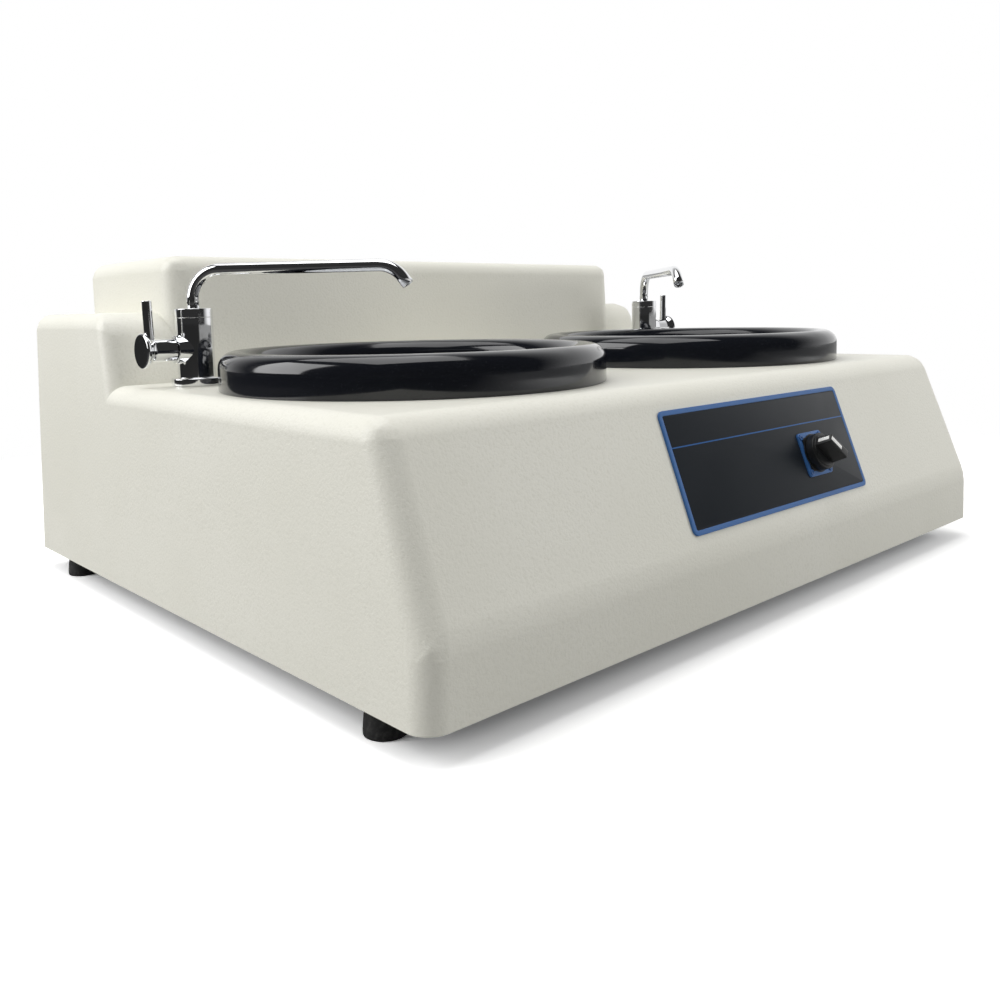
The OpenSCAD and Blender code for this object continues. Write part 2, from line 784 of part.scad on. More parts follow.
/* Motor: it stands on its flange with the shaft pointing down */
motor_flange_t = 10;
motor_base = frame_z + motor_flange_t;
motor_top = motor_base + motor_h;
fin_t = 2;
fin_h = 5;
fin_end = 8;
stator_wall = 10;
shaft_low = rim_z + 14;
shaft_mid_r = 14;
rotor_low = motor_base + 12;
rotor_high = motor_top - 14;
rotor_gap = 1;
rotor_r = motor_r - fin_h - stator_wall - rotor_gap;
fan_r = motor_r - 8;
fan_t = 12;
fan_gap = 4;
cover_h = 28;
cover_wall = 1.5;
cover_slots = 12;
lug_bolt_w = 13;

module motor_body() {
    barrel = motor_r - fin_h;
    color([0.30, 0.36, 0.42])
    stand_at(0, motor_y, 0)
        difference() {
            union() {
                cylinder_from(motor_flange_r, frame_z, motor_base);
                cylinder_from(barrel, motor_base, motor_top);
                cylinder_from(motor_r, motor_top - fin_end, motor_top);
                for (i = [0 : fin_count - 1])
                    rotate([0, 0, (i + 0.5) * 360 / fin_count])
                        translate([barrel - over, -fin_t / 2, motor_base + fin_end])
                            cube([fin_h + over, fin_t, motor_h - 2 * fin_end]);
            }
            cylinder_from(motor_shaft_r + run_fit, frame_z - over, motor_top + over);
            cylinder_from(shaft_mid_r + rotor_gap, motor_base, motor_top - fin_end);
            cylinder_from(rotor_r + rotor_gap, rotor_low - rotor_gap, rotor_high + rotor_gap);
            translate([0, -motor_y, 0]) each_motor_bolt()
                cylinder_from(motor_bolt_r + seat_fit, frame_z - over, motor_base + over);
        }
}

module motor_rotor() {
    fan_z = motor_top + fan_gap;
    color([0.72, 0.73, 0.75])
    stand_at(0, motor_y, 0) {
        cylinder_from(motor_shaft_r, shaft_low, fan_z + fan_t);
        cylinder_from(shaft_mid_r, rotor_low, rotor_high);
        cylinder_from(rotor_r, rotor_low, rotor_high);
        cylinder_from(fan_r, fan_z, fan_z + fan_t / 4);
        for (i = [0 : hex - 1])
            rotate([0, 0, i * 360 / hex])
                translate([motor_shaft_r - over, -fin_t / 2, fan_z])
                    cube([fan_r - motor_shaft_r, fin_t, fan_t]);
    }
}

module motor_fan_cover() {
    cover_top = motor_top + cover_h;
    color([0.12, 0.13, 0.14])
    stand_at(0, motor_y, 0)
        difference() {
            cylinder_from(motor_r, motor_top, cover_top);
            cylinder_from(motor_r - cover_wall, motor_top - over, cover_top - cover_wall);
            for (i = [0 : cover_slots - 1])
                rotate([0, 0, i * 360 / cover_slots])
                    translate([motor_r / 4, -fin_t, cover_top - 2 * over])
                        cube([motor_r / 2, 2 * fin_t, 3 * over]);
        }
}

term_w = 62;
term_d = 34;
term_h = 58;
term_wall = 2;

module motor_terminal_box() {
    color([0.30, 0.36, 0.42])
    translate([-motor_r - term_d + over, motor_y - term_w / 2, motor_base + fin_end])
        difference() {
            cube([term_d, term_w, term_h]);
            translate([term_wall, term_wall, term_wall])
                cube([term_d - 2 * term_wall, term_w - 2 * term_wall, term_h - 2 * term_wall]);
            translate([term_d - over + motor_r, term_w / 2, -over])
                cylinder(r = motor_r + seat_fit, h = term_h + 2 * over);
        }
}

module motor_bolts() {
    color([0.70, 0.71, 0.73])
    each_motor_bolt() {
        cylinder_from(motor_bolt_r, frame_under - foot_nut_h - over, motor_base);
        translate([0, 0, motor_base]) hexagon(lug_bolt_w, housing_nut_h);
        translate([0, 0, frame_under - foot_nut_h]) hexagon(lug_bolt_w, foot_nut_h);
    }
}

/* Taps: column, side valve with a pin lever, and a spout that swings */
tap_flange_h = 6.5;
tap_nut_r = 14;
tap_nut_h = 8;
tail_l = 30;
branch_r = 11;
branch_l = 18;
stem_r = 4;
stem_l = 34;
sleeve_r = 9.2;
handle_gap = 0.3;
handle_end = 45;
disc_r = 14.2;
disc_t = 3;
disc_flare = 4;
lever_r = 3.8;
lever_at = 38.5;
lever_top = 39.6;
lever_lean = 4;
collar_r = 8.5;
collar_h = 5;
water_r = pipe_r - 1;
bend_r = 24;
tip_bend_a = 52;
tip_knuckles = 3;
tip_step = 6;
tip_l = 13;
knuckle_r = pipe_r + 0.15;
valve_z = deck_z + valve_h;
column_top = deck_z + column_h;
cap_z = column_top - cap_h;
collar_z = cap_z - collar_h;
spout_z = deck_z + spout_h;

module at_tap(side) {
    translate([side * tap_x, tap_y, 0]) children();
}

// Lays a cylinder along the valve's axis, from one distance to another
module along_valve(side, r0, r1, l0, l1) {
    translate([side * l0, 0, valve_z]) rotate([0, side * 90, 0]) cylinder(r1 = r0, r2 = r1, h = l1 - l0);
}

module tap_body(side) {
    color([0.86, 0.87, 0.89])
    at_tap(side)
        difference() {
            union() {
                cylinder_from(tap_flange_r - over, deck_z, deck_z + over);
                cylinder_from(tap_flange_r, deck_z + over, deck_z + tap_flange_h - over);
                cylinder_from(tap_flange_r - over, deck_z + tap_flange_h - over, deck_z + tap_flange_h);
                cylinder_from(column_r, deck_z + tap_flange_h - over, cap_z);
                cylinder_from(tap_tail_r, deck_z - tail_l, deck_z + over);
                along_valve(side, column_r - over, branch_r, 0, branch_l);
                along_valve(side, stem_r, stem_r, branch_l - over, stem_l);
            }
            cylinder_from(water_r, deck_z - tail_l - over, collar_z + over);
            cylinder_from(collar_r + run_fit, collar_z - handle_gap - pipe_r, cap_z + over);
        }
}

module left_tap_body() tap_body(-1);
module right_tap_body() tap_body(1);

module tap_cap(side) {
    color([0.86, 0.87, 0.89])
    at_tap(side)
        difference() {
            union() {
                cylinder_from(column_r, cap_z, column_top - over / 2);
                cylinder_from(column_r - over / 2, column_top - over, column_top);
            }
            cylinder_from(pipe_r + run_fit, cap_z - over, column_top + over);
        }
}

module left_tap_cap() tap_cap(-1);
module right_tap_cap() tap_cap(1);

// A pipe bend in the XZ plane: it starts at the origin going up and turns towards +X
module bend(r, radius, angle) {
    translate([radius, 0, 0]) rotate([90, 0, 0]) rotate([0, 0, 180 - angle])
        rotate_extrude(angle = angle) translate([radius, 0]) circle(r = r);
}

// Places a child at a joint of the bent tip, with the next length of pipe running along +Z
module at_knuckle(k) {
    if (k == 0)
        translate([spout_run, 0, spout_z]) rotate([0, 90, 0]) children();
    else
        at_knuckle(k - 1) translate([0, 0, k > 1 ? tip_step : 0])
            rotate([0, tip_bend_a / tip_knuckles, 0]) children();
}

module spout(side) {
    heading = side < 0 ? spout_heading : 180 - spout_heading;
    rise = spout_z - bend_r;
    color([0.86, 0.87, 0.89])
    at_tap(side) rotate([0, 0, heading])
        difference() {
            union() {
                cylinder_from(pipe_r, collar_z, rise);
                cylinder_from(collar_r, collar_z, cap_z - handle_gap);
                translate([0, 0, rise]) bend(pipe_r, bend_r, 90);
                translate([bend_r, 0, spout_z]) rotate([0, 90, 0])
                    cylinder(r = pipe_r, h = spout_run - bend_r);
                for (k = [1 : tip_knuckles])
                    at_knuckle(k) {
                        sphere(r = knuckle_r);
                        cylinder(r = pipe_r, h = k < tip_knuckles ? tip_step : tip_l);
                    }
            }
            cylinder_from(water_r, collar_z - over, rise - over);
            at_knuckle(tip_knuckles) translate([0, 0, over]) cylinder(r = water_r, h = tip_l);
        }
}

module left_spout() spout(-1);
module right_spout() spout(1);

module tap_handle(side) {
    start = branch_l + handle_gap;
    rim = handle_end - disc_t;
    color([0.86, 0.87, 0.89])
    at_tap(side)
        difference() {
            union() {
                along_valve(side, sleeve_r, sleeve_r, start, handle_end - over);
                along_valve(side, sleeve_r, disc_r - over, rim - disc_flare, rim);
                along_valve(side, disc_r, disc_r, rim, handle_end - over);
                along_valve(side, disc_r, disc_r - over, handle_end - over, handle_end);
                translate([side * lever_at, 0, valve_z]) rotate([0, side * lever_lean, 0])
                    cylinder(r = lever_r, h = lever_top);
            }
            along_valve(side, stem_r + run_fit, stem_r + run_fit, start - over, stem_l + over);
        }
}

module left_tap_handle() tap_handle(-1);
module right_tap_handle() tap_handle(1);

module tap_nut(side) {
    under = deck_z - shell_wall;
    color([0.74, 0.70, 0.52])
    at_tap(side)
        difference() {
            union() {
                cylinder_from(tap_flange_r - over, under - 2 * over, under);
                translate([0, 0, under - 2 * over - tap_nut_h]) hexagon(2 * tap_nut_r - over, tap_nut_h);
            }
            cylinder_from(tap_tail_r + seat_fit, under - tap_nut_h - 3 * over, under + over);
        }
}

module left_tap_nut() tap_nut(-1);
module right_tap_nut() tap_nut(1);

/* Control panel and cam switch */
panel_corner_r = 5;
plate_corner_r = 3;
switch_bore_r = 5;
switch_shaft_r = 3;
switch_body_w = 42;
switch_body_l = 46;
switch_neck = 3;
switch_screw_r = 1.6;
switch_screw_off = 14.5;
switch_head_r = 2.4;
switch_head_h = 1;

module panel_plate(w, h, r, out, t) {
    on_slope(panel_x, panel_up + panel_h / 2, out) rounded_plate(w, h, r, t);
}

module control_panel() {
    inner_w = panel_w - 2 * panel_frame_w;
    inner_h = panel_h - 2 * panel_frame_w;
    color([0.11, 0.12, 0.13])
    difference() {
        panel_plate(inner_w, inner_h, panel_corner_r - panel_frame_w / 2, 0, panel_t);
        on_slope(switch_x, switch_up, -over) cylinder(r = switch_bore_r, h = panel_t + 2 * over);
        each_switch_screw(-over) cylinder(r = switch_screw_r + seat_fit, h = panel_t + 2 * over);
    }
}

module panel_frame() {
    inner_w = panel_w - 2 * panel_frame_w;
    inner_h = panel_h - 2 * panel_frame_w;
    color([0.16, 0.33, 0.58])
    difference() {
        panel_plate(panel_w, panel_h, panel_corner_r, 0, panel_frame_t);
        panel_plate(inner_w, inner_h, panel_corner_r - panel_frame_w / 2, -over, panel_frame_t + 2 * over);
    }
}

module each_switch_screw(out) {
    for (x = [-1, 1])
        for (y = [-1, 1])
            on_slope(switch_x + x * switch_screw_off, switch_up + y * switch_screw_off, out) children();
}

module switch_plate() {
    color([0.14, 0.28, 0.52])
    difference() {
        union() {
            on_slope(switch_x, switch_up, panel_t)
                rounded_plate(switch_plate_w, switch_plate_w, plate_corner_r, switch_plate_t);
            on_slope(switch_x, switch_up, switch_base_z)
                cylinder(r = switch_base_r + over, h = over);
        }
        on_slope(switch_x, switch_up, -over) cylinder(r = switch_bore_r, h = switch_base_z + 3 * over);
        each_switch_screw(-over) cylinder(r = switch_screw_r + seat_fit, h = switch_base_z + 3 * over);
    }
}

module switch_body() {
    color([0.05, 0.05, 0.055])
    difference() {
        union() {
            on_slope(switch_x, switch_up, -shell_wall - switch_neck - switch_body_l)
                translate([-switch_body_w / 2, -switch_body_w / 2, 0])
                    cube([switch_body_w, switch_body_w, switch_body_l]);
            on_slope(switch_x, switch_up, -shell_wall - switch_neck - over)
                translate([-switch_body_w / 2, -switch_body_w / 2, 0])
                    cube([switch_body_w, switch_body_w, shell_wall + switch_neck + over]);
        }
        on_slope(switch_x, switch_up, -switch_body_l / 2)
            cylinder(r = switch_shaft_r + run_fit, h = switch_body_l);
        each_switch_screw(-switch_body_l / 2)
            cylinder(r = switch_screw_r + seat_fit, h = switch_body_l);
    }
}

module switch_screws() {
    color([0.14, 0.28, 0.52])
    each_switch_screw(0) {
        cylinder_from(switch_screw_r, -switch_body_l / 4, switch_base_z);
        cylinder_from(switch_head_r, switch_base_z, switch_base_z + switch_head_h);
    }
}

module switch_knob() {
    skirt = switch_base_z + over + knob_gap;
    color([0.05, 0.05, 0.055])
    on_slope(switch_x, switch_up, 0) {
        cylinder_from(switch_shaft_r, -switch_body_l / 3, skirt + over);
        cylinder_from(switch_base_r, skirt, knob_z - over);
        cylinder_from(switch_base_r - over, knob_z - 2 * over, knob_z);
        rotate([0, 0, knob_rest])
            intersection() {
                cylinder_from(knob_bar_l / 2, knob_z - over, knob_top);
                rotate([90, 0, 90])
                    translate([0, 0, -bar_w / 2])
                        linear_extrude(height = bar_w)
                            polygon([[-knob_bar_l, knob_z - over], [knob_bar_l, knob_z - over],
                                     [knob_bar_l, knob_top], [-knob_bar_l, knob_top]]);
            }
    }
}

/* Drain pipe from both bowls to the outlet at the back */
outlet_bore = outlet_r - 2.5;
socket_r = spigot_r + 3;
socket_low = drain_z - waste_r;
socket_top = floor_under - 4;
waste_flange_r = waste_r + 7;
waste_flange_t = 4;

module y_pipe(x, z, y0, y1, r) {
    stand_at(x, y0, z) rotate([-90, 0, 0]) cylinder(r = r, h = y1 - y0);
}

module x_pipe(y, z, x0, x1, r) {
    stand_at(x0, y, z) rotate([0, 90, 0]) cylinder(r = r, h = x1 - x0);
}

module drain_pipe() {
    color([0.55, 0.57, 0.58])
    difference() {
        union() {
            x_pipe(drain_y, drain_z, -drain_x, drain_x, waste_r);
            y_pipe(drain_x, drain_z, drain_y, rear_y + over, waste_r);
            y_pipe(drain_x, drain_z, rear_y, rear_y + waste_flange_t, waste_flange_r);
            y_pipe(drain_x, drain_z, rear_y, rear_y + stub_out, outlet_r);
            for (x = [-drain_x, drain_x])
                stand_at(x, drain_y, socket_low) cylinder(r = socket_r, h = socket_top - socket_low);
        }
        x_pipe(drain_y, drain_z, -drain_x, drain_x, outlet_bore);
        y_pipe(drain_x, drain_z, drain_y, rear_y + stub_out + over, outlet_bore);
        for (x = [-drain_x, drain_x]) {
            stand_at(x, drain_y, drain_z) cylinder(r = outlet_bore, h = spigot_z);
            stand_at(x, drain_y, spigot_z) cylinder(r = spigot_r + seat_fit, h = spigot_z);
        }
    }
}

/* Water inlet and the pipes to the taps */
inlet_nut_w = 30;
inlet_nut_h = 6;
inlet_block_d = 24;
inlet_block_w = 20;
supply_r = 4;
elbow_r = 7;
union_h = 7;
supply_bore = supply_r - 1;

module water_inlet() {
    back = rear_y - shell_wall;
    y0 = back - inlet_block_d;
    color([0.74, 0.66, 0.42])
    difference() {
        union() {
            y_pipe(-inlet_x, inlet_z, back - over, rear_y + stub_out, inlet_r);
            stand_at(-inlet_x, rear_y + inlet_nut_h, inlet_z) rotate([90, 0, 0])
                hexagon(inlet_nut_w, inlet_nut_h);
            translate([-inlet_x - inlet_block_w / 2, y0, inlet_z - inlet_block_w / 2])
                cube([inlet_block_w, inlet_block_d, inlet_block_w]);
        }
        y_pipe(-inlet_x, inlet_z, y0 + supply_r, rear_y + stub_out + over, inlet_r - 3);
        x_pipe(y0 + inlet_block_d / 2, inlet_z, -inlet_x - inlet_block_w, -inlet_x + inlet_block_w,
               supply_bore);
    }
}

// From the inlet block along the back, forwards under the tap, and up to its tail
module supply_route(side) {
    y0 = rear_y - shell_wall - inlet_block_d / 2;
    x0 = side * tap_x;
    start = -inlet_x + side * inlet_block_w / 2;
    tail_z = deck_z - tail_l;
    x_pipe(y0, inlet_z, min(x0, start), max(x0, start), supply_r);
    y_pipe(x0, inlet_z, tap_y, y0, supply_r);
    for (y = [y0, tap_y])
        translate([x0 - elbow_r, y - elbow_r, inlet_z - elbow_r])
            cube([2 * elbow_r, 2 * elbow_r, 2 * elbow_r]);
    stand_at(x0, tap_y, inlet_z) cylinder(r = supply_r, h = tail_z - inlet_z);
    stand_at(x0, tap_y, tail_z - union_h) cylinder(r = elbow_r, h = union_h);
}

module supply_pipe(side) {
    color([0.72, 0.45, 0.30])
    supply_route(side);
}

module left_supply_pipe() supply_pipe(-1);
module right_supply_pipe() supply_pipe(1);

/* Cable gland: it holds no cable */
gland_nut_w = 20;
gland_nut_h = 5;
gland_dome_r = 8.8;
gland_dome_h = 10;

module cable_gland() {
    back = rear_y - shell_wall;
    color([0.06, 0.06, 0.065])
    difference() {
        union() {
            y_pipe(gland_x, gland_z, back - 2 * gland_nut_h, rear_y + gland_nut_h, gland_thread_r);
            stand_at(gland_x, back, gland_z) rotate([90, 0, 0]) hexagon(gland_nut_w, gland_nut_h);
            stand_at(gland_x, rear_y + gland_nut_h, gland_z) rotate([90, 0, 0])
                hexagon(gland_nut_w, gland_nut_h);
            stand_at(gland_x, rear_y + gland_nut_h, gland_z) rotate([-90, 0, 0])
                cylinder(r1 = gland_dome_r, r2 = gland_thread_r - over, h = gland_dome_h);
        }
        y_pipe(gland_x, gland_z, back - 3 * gland_nut_h, rear_y + gland_nut_h + gland_dome_h + over,
               gland_bore_r);
    }
}

shell();
base_plate();
drive_frame();
feet();
foot_screws();
shell_screws();
left_bowl();
right_bowl();
left_platen();
right_platen();
left_spindle();
right_spindle();
left_pulley();
right_pulley();
left_belt();
right_belt();
left_housing();
right_housing();
left_bearings();
right_bearings();
housing_bolts();
motor_pulley();
motor_rotor();
motor_body();
motor_fan_cover();
motor_terminal_box();
motor_bolts();
left_tap_body();
left_tap_cap();
left_spout();
left_tap_handle();
left_tap_nut();
right_tap_body();
right_tap_cap();
right_spout();
right_tap_handle();
right_tap_nut();
control_panel();
panel_frame();
switch_plate();
switch_body();
switch_knob();
switch_screws();
drain_pipe();
water_inlet();
left_supply_pipe();
right_supply_pipe();
cable_gland();
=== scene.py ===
# %% [markdown]
# # A twin-disc grinding and polishing machine
# Laboratories use this bench machine to grind and polish small metal samples on two turning discs.
# A moulded white shell carries two black bowls, a water tap beside each bowl, and one rotary switch.
# The solid model is already made and packed. This lesson dresses it: every visible piece gets a finely
# rounded mesh or a finish of its own, a camera stands where the photographer stood, and soft lamps light it.

# %% Load the solid model
import bpy
import bmesh
import math
from mathutils import Matrix, Vector


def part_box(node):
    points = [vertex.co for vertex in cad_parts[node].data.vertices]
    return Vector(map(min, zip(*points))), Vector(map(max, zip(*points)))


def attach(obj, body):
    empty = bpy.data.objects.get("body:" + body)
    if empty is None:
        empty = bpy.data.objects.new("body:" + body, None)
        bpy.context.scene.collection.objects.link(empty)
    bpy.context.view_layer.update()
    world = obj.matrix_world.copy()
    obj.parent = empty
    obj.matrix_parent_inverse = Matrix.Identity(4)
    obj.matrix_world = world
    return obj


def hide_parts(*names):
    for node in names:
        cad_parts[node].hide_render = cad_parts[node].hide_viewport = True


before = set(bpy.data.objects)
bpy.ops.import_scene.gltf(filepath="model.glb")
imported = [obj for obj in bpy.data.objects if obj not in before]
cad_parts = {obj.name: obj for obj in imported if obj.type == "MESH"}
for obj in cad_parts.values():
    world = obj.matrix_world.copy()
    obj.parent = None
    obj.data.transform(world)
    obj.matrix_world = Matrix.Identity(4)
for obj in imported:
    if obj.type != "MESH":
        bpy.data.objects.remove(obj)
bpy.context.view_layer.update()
mm = 0.001

# %% [markdown]
# ## The sizes that the pieces share
# Places come from the solids wherever a solid has them: the shell gives the front and the rim, the platens
# give the bowls' axes and the tap caps give the columns' axes. What a box can't tell, such as the shell's
# slopes and the profile of a turned piece, is restated in millimetres.

# %% Measure the solids
shell_low, shell_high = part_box("shell")
front_y, rear_y, rim_z = shell_low.y, shell_high.y, shell_low.z
half_w = shell_high.x
crease_z = rim_z + 47 * mm
deck_z = rim_z + 162 * mm
wing_z = deck_z + 60 * mm
box_z = shell_high.z
slope_back = 44 * mm
slope = math.atan2(slope_back, deck_z - crease_z)
raised_y = rear_y - 189 * mm


def axis_of(node):
    """The upright middle line of a round solid, as a point on the floor."""
    low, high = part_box(node)
    return Vector(((low.x + high.x) / 2, (low.y + high.y) / 2, 0))


bowl_axis = {side: axis_of(side + "_platen") for side in ("left", "right")}
tap_axis = {side: axis_of(side + "_tap_cap") for side in ("left", "right")}
out_of = {"left": -1, "right": 1}
print("front", round(front_y, 4), "bowl axes", [tuple(round(c, 4) for c in v) for v in bowl_axis.values()])

# %% [markdown]
# ## Camera
# The photograph was taken low and close, from the front left corner, with a lens a little wider than
# normal. Its upright lines stay almost parallel because the camera barely tips: the frame was cropped
# below the lens axis instead, which a small vertical shift repeats.

# %% Place the camera
yaw, pitch, roll = 0.749, 0.097, -0.022
stands_at = (-0.630717, front_y - 0.362604, 0.238503)
forward = Vector((math.sin(yaw) * math.cos(pitch), math.cos(yaw) * math.cos(pitch), -math.sin(pitch)))
level = Vector((math.cos(yaw), -math.sin(yaw), 0))
upward = level.cross(forward)
right = level * math.cos(roll) + upward * math.sin(roll)
upward = upward * math.cos(roll) - level * math.sin(roll)
camera = bpy.data.objects.new("camera", bpy.data.cameras.new("camera"))
bpy.context.scene.collection.objects.link(camera)
turned_to = Matrix((right, upward, -forward)).transposed().to_4x4()
camera.matrix_world = Matrix.Translation(stands_at) @ turned_to
camera.data.lens = 33.81
camera.data.shift_y = -0.1
bpy.context.scene.camera = camera
print("camera stands", round((Vector((0, 0, 0.1)) - camera.location).length, 3), "m from the machine")

# %% [markdown]
# ## A small kit for finishes
# A finish is a net of shader nodes. Written by hand each node takes many lines, so one class makes a
# material and adds any node in a single call, and another wraps a socket: sums and products of wrapped
# sockets add the Math nodes by themselves, and a pattern reads like the formula that it is.


# %% Wrap sockets and nodes
class Wire:
    """An output socket that can stand in a formula."""

    def __init__(self, finish, socket):
        self.finish, self.socket = finish, socket

    def _with(self, operation, first, second):
        return self.finish.add("ShaderNodeMath", {"operation": operation}, {0: first, 1: second})

    def __add__(self, other):
        return self._with("ADD", self, other)

    def __radd__(self, other):
        return self._with("ADD", other, self)

    def __sub__(self, other):
        return self._with("SUBTRACT", self, other)

    def __rsub__(self, other):
        return self._with("SUBTRACT", other, self)

    def __mul__(self, other):
        return self._with("MULTIPLY", self, other)

    def __rmul__(self, other):
        return self._with("MULTIPLY", other, self)

    def __lt__(self, other):
        return self._with("LESS_THAN", self, other)

    def __gt__(self, other):
        return self._with("GREATER_THAN", self, other)

    def __abs__(self):
        return self._with("ABSOLUTE", self, 0)


class Finish:
    """One material: a Principled shader and the nodes that feed it."""

    def __init__(self, name, **constants):
        self.material = bpy.data.materials.new(name)
        self.material.use_nodes = True
        self.tree = self.material.node_tree
        self.shader = self.tree.nodes["Principled BSDF"]
        for socket, value in constants.items():
            self.shader.inputs[socket.replace("_", " ")].default_value = value

    def add(self, kind, settings=None, sockets=None, out=0):
        """Adds a node: its settings first, then the values or links of its sockets. Gives one output."""
        node = self.tree.nodes.new(kind)
        for name, value in (settings or {}).items():
            setattr(node, name, value)
        for name, value in (sockets or {}).items():
            self.feed(node.inputs[name], value)
        return Wire(self, node.outputs[out])

    def feed(self, socket, value):
        """Links a wire to a socket, or sets the socket to a plain value."""
        if isinstance(value, Wire):
            self.tree.links.new(value.socket, socket)
        else:
            socket.default_value = value

    def set(self, **values):
        """Feeds the shader's own sockets by name."""
        for name, value in values.items():
            self.feed(self.shader.inputs[name.replace("_", " ")], value)

    def place(self, stretch=(1, 1, 1), centre=(0, 0, 0)):
        """The point on the piece, measured from centre and stretched along each axis."""
        point = self.add("ShaderNodeTexCoord", out="Object")
        return self.add("ShaderNodeMapping", {"vector_type": "TEXTURE"}, {
            "Vector": point, "Location": centre, "Scale": [1 / s for s in stretch]})

    def noise(self, size, detail=2.0, rough=0.5):
        """Cloudy pattern whose patches are about size metres across."""
        return self.add("ShaderNodeTexNoise", None, {
            "Vector": self.place(), "Scale": 1 / size, "Detail": detail, "Roughness": rough})

    def mix(self, amount, first, second):
        """Goes from the first colour to the second as amount goes from 0 to 1."""
        first, second = (c if isinstance(c, Wire) else (*c, 1) for c in (first, second))
        return self.add("ShaderNodeMix", {"data_type": "RGBA"}, {0: amount, 6: first, 7: second}, out=2)

    def ramp(self, value, low, high):
        """Stretches the part of a value between low and high to 0 and 1."""
        return self.add("ShaderNodeMapRange", {"clamp": True}, {
            "Value": value, "From Min": low, "From Max": high, "To Min": 0.0, "To Max": 1.0})

    def bump(self, height, depth, strength=1.0):
        """Raises the surface by depth metres where height is 1."""
        return self.add("ShaderNodeBump", None, {"Height": height, "Distance": depth, "Strength": strength})


print("finish kit ready")

# %% [markdown]
# ## A small kit for meshes
# Most small pieces are turned or plated: a profile is drawn as a few corners, its corners are rounded by
# a vertex bevel, and a spin or an extrusion makes the solid. The last helper turns a bmesh into a
# finished object that rides on its body and stands for its solid.


# %% Draw, turn and finish meshes
def outline(points, close=False):
    """Edges through (x, z) corners. A third number rounds a corner by cutting that much off both sides."""
    bm = bmesh.new()
    corners = [bm.verts.new((p[0], 0, p[1])) for p in points]
    pairs = list(zip(corners, corners[1:])) + ([(corners[-1], corners[0])] if close else [])
    for pair in pairs:
        bm.edges.new(pair)
    for corner, point in zip(corners, points):
        if len(point) > 2:
            bmesh.ops.bevel(bm, geom=[corner], offset=point[2], offset_type="OFFSET", segments=8,
                            profile=0.5, affect="VERTICES", material=-1, clamp_overlap=False)
    return bm


def turn(bm, steps=96):
    """Spins a profile once round the Z axis and closes it."""
    bmesh.ops.spin(bm, geom=bm.verts[:] + bm.edges[:], cent=(0, 0, 0), axis=(0, 0, 1),
                   angle=2 * math.pi, steps=steps, use_merge=True)
    bmesh.ops.remove_doubles(bm, verts=bm.verts[:], dist=1e-6)
    bmesh.ops.recalc_face_normals(bm, faces=bm.faces[:])
    return bm


def move(bm, matrix):
    """Moves and turns all of a bmesh."""
    bmesh.ops.transform(bm, matrix=matrix, verts=bm.verts[:])
    return bm


def join(bm, other):
    """Adds another bmesh to this one and frees it."""
    spare = bpy.data.meshes.new("spare")
    other.to_mesh(spare)
    other.free()
    bm.from_mesh(spare)
    bpy.data.meshes.remove(spare)
    return bm


def shade(mesh, sharpest=35):
    """Smooth shading, except over edges that turn by more than so many degrees."""
    mesh.shade_smooth()
    mesh.set_sharp_from_angle(angle=math.radians(sharpest))


def finished(bm, name, body, nodes, slot, finish):
    """Writes the mesh to an object, rounds its shading, and seats it in place of its solids."""
    mesh = bpy.data.meshes.new(name)
    bm.to_mesh(mesh)
    bm.free()
    piece = bpy.data.objects.new(name, mesh)
    bpy.context.scene.collection.objects.link(piece)
    mesh.materials.append(finish.material)
    shade(mesh)
    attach(piece, body)
    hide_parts(*nodes)
    print(f"{name}: {len(mesh.polygons)} faces, {[round(d / mm) for d in piece.dimensions]} mm")
    return piece


def flat_lit(piece):
    """Lets the large faces lead the shading, so that a narrow rounding doesn't bend a wall's reflections."""
    piece.modifiers.new("large_faces_lead", "WEIGHTED_NORMAL").keep_sharp = True
    return piece


def applied(piece):
    """Makes what the modifiers show the piece's own mesh."""
    shown = piece.evaluated_get(bpy.context.evaluated_depsgraph_get())
    mesh = bpy.data.meshes.new_from_object(shown)
    piece.modifiers.clear()
    piece.data = mesh
    return piece


# %% [markdown]
# ## White gel coat
# The shell is glass fibre laid up in a mould whose face was lightly pebbled, so the white gel coat has a
# fine leathery grain, about two millimetres from bump to bump, and a dull shine. Two noises make the
# grain, and a very slow one warms and cools the white a little, as large mouldings do. The hollows of the
# grain are coloured a little darker than its tops, which is painted shade.

# %% Make the gel coat
gel = Finish("white_gel_coat")
pebble = gel.noise(2.1 * mm, 1.5, 0.55)
grain = gel.noise(0.8 * mm, 1.0, 0.5)
cloud = gel.noise(160 * mm, 2.0, 0.5)
tone = gel.mix(gel.ramp(cloud, 0.35, 0.65), (0.755, 0.745, 0.665), (0.785, 0.775, 0.70))
# painted shade: the low parts of the pebble grain are coloured darker than the tops
pebble_hollow_shade = gel.mix(gel.ramp(pebble, 0.28, 0.50), (0.737, 0.727, 0.647), tone)
gel.set(Base_Color=pebble_hollow_shade, Roughness=gel.ramp(pebble, 0.2, 0.8) * 0.14 + 0.36,
        Normal=gel.bump(pebble * 0.75 + grain * 0.25, 0.32 * mm, 0.85))
print("gel coat nodes:", len(gel.tree.nodes))

# %% [markdown]
# ## The moulded shell
# A mould has no sharp edges: it has draft on its walls and a radius everywhere, wide along the front of a
# wing and small where a wing runs into the box. A cage of flat faces with a weight on each outer edge says
# exactly that, and one Bevel modifier rounds them all by their weights. The hollows come in the next step.

# %% Draw the shell's cage
draft = 5 * mm


def lean_in(z):
    """Half the shell's width at a height: the side walls lean in by the draft of the mould."""
    return half_w - draft * (z - rim_z) / (deck_z - rim_z)


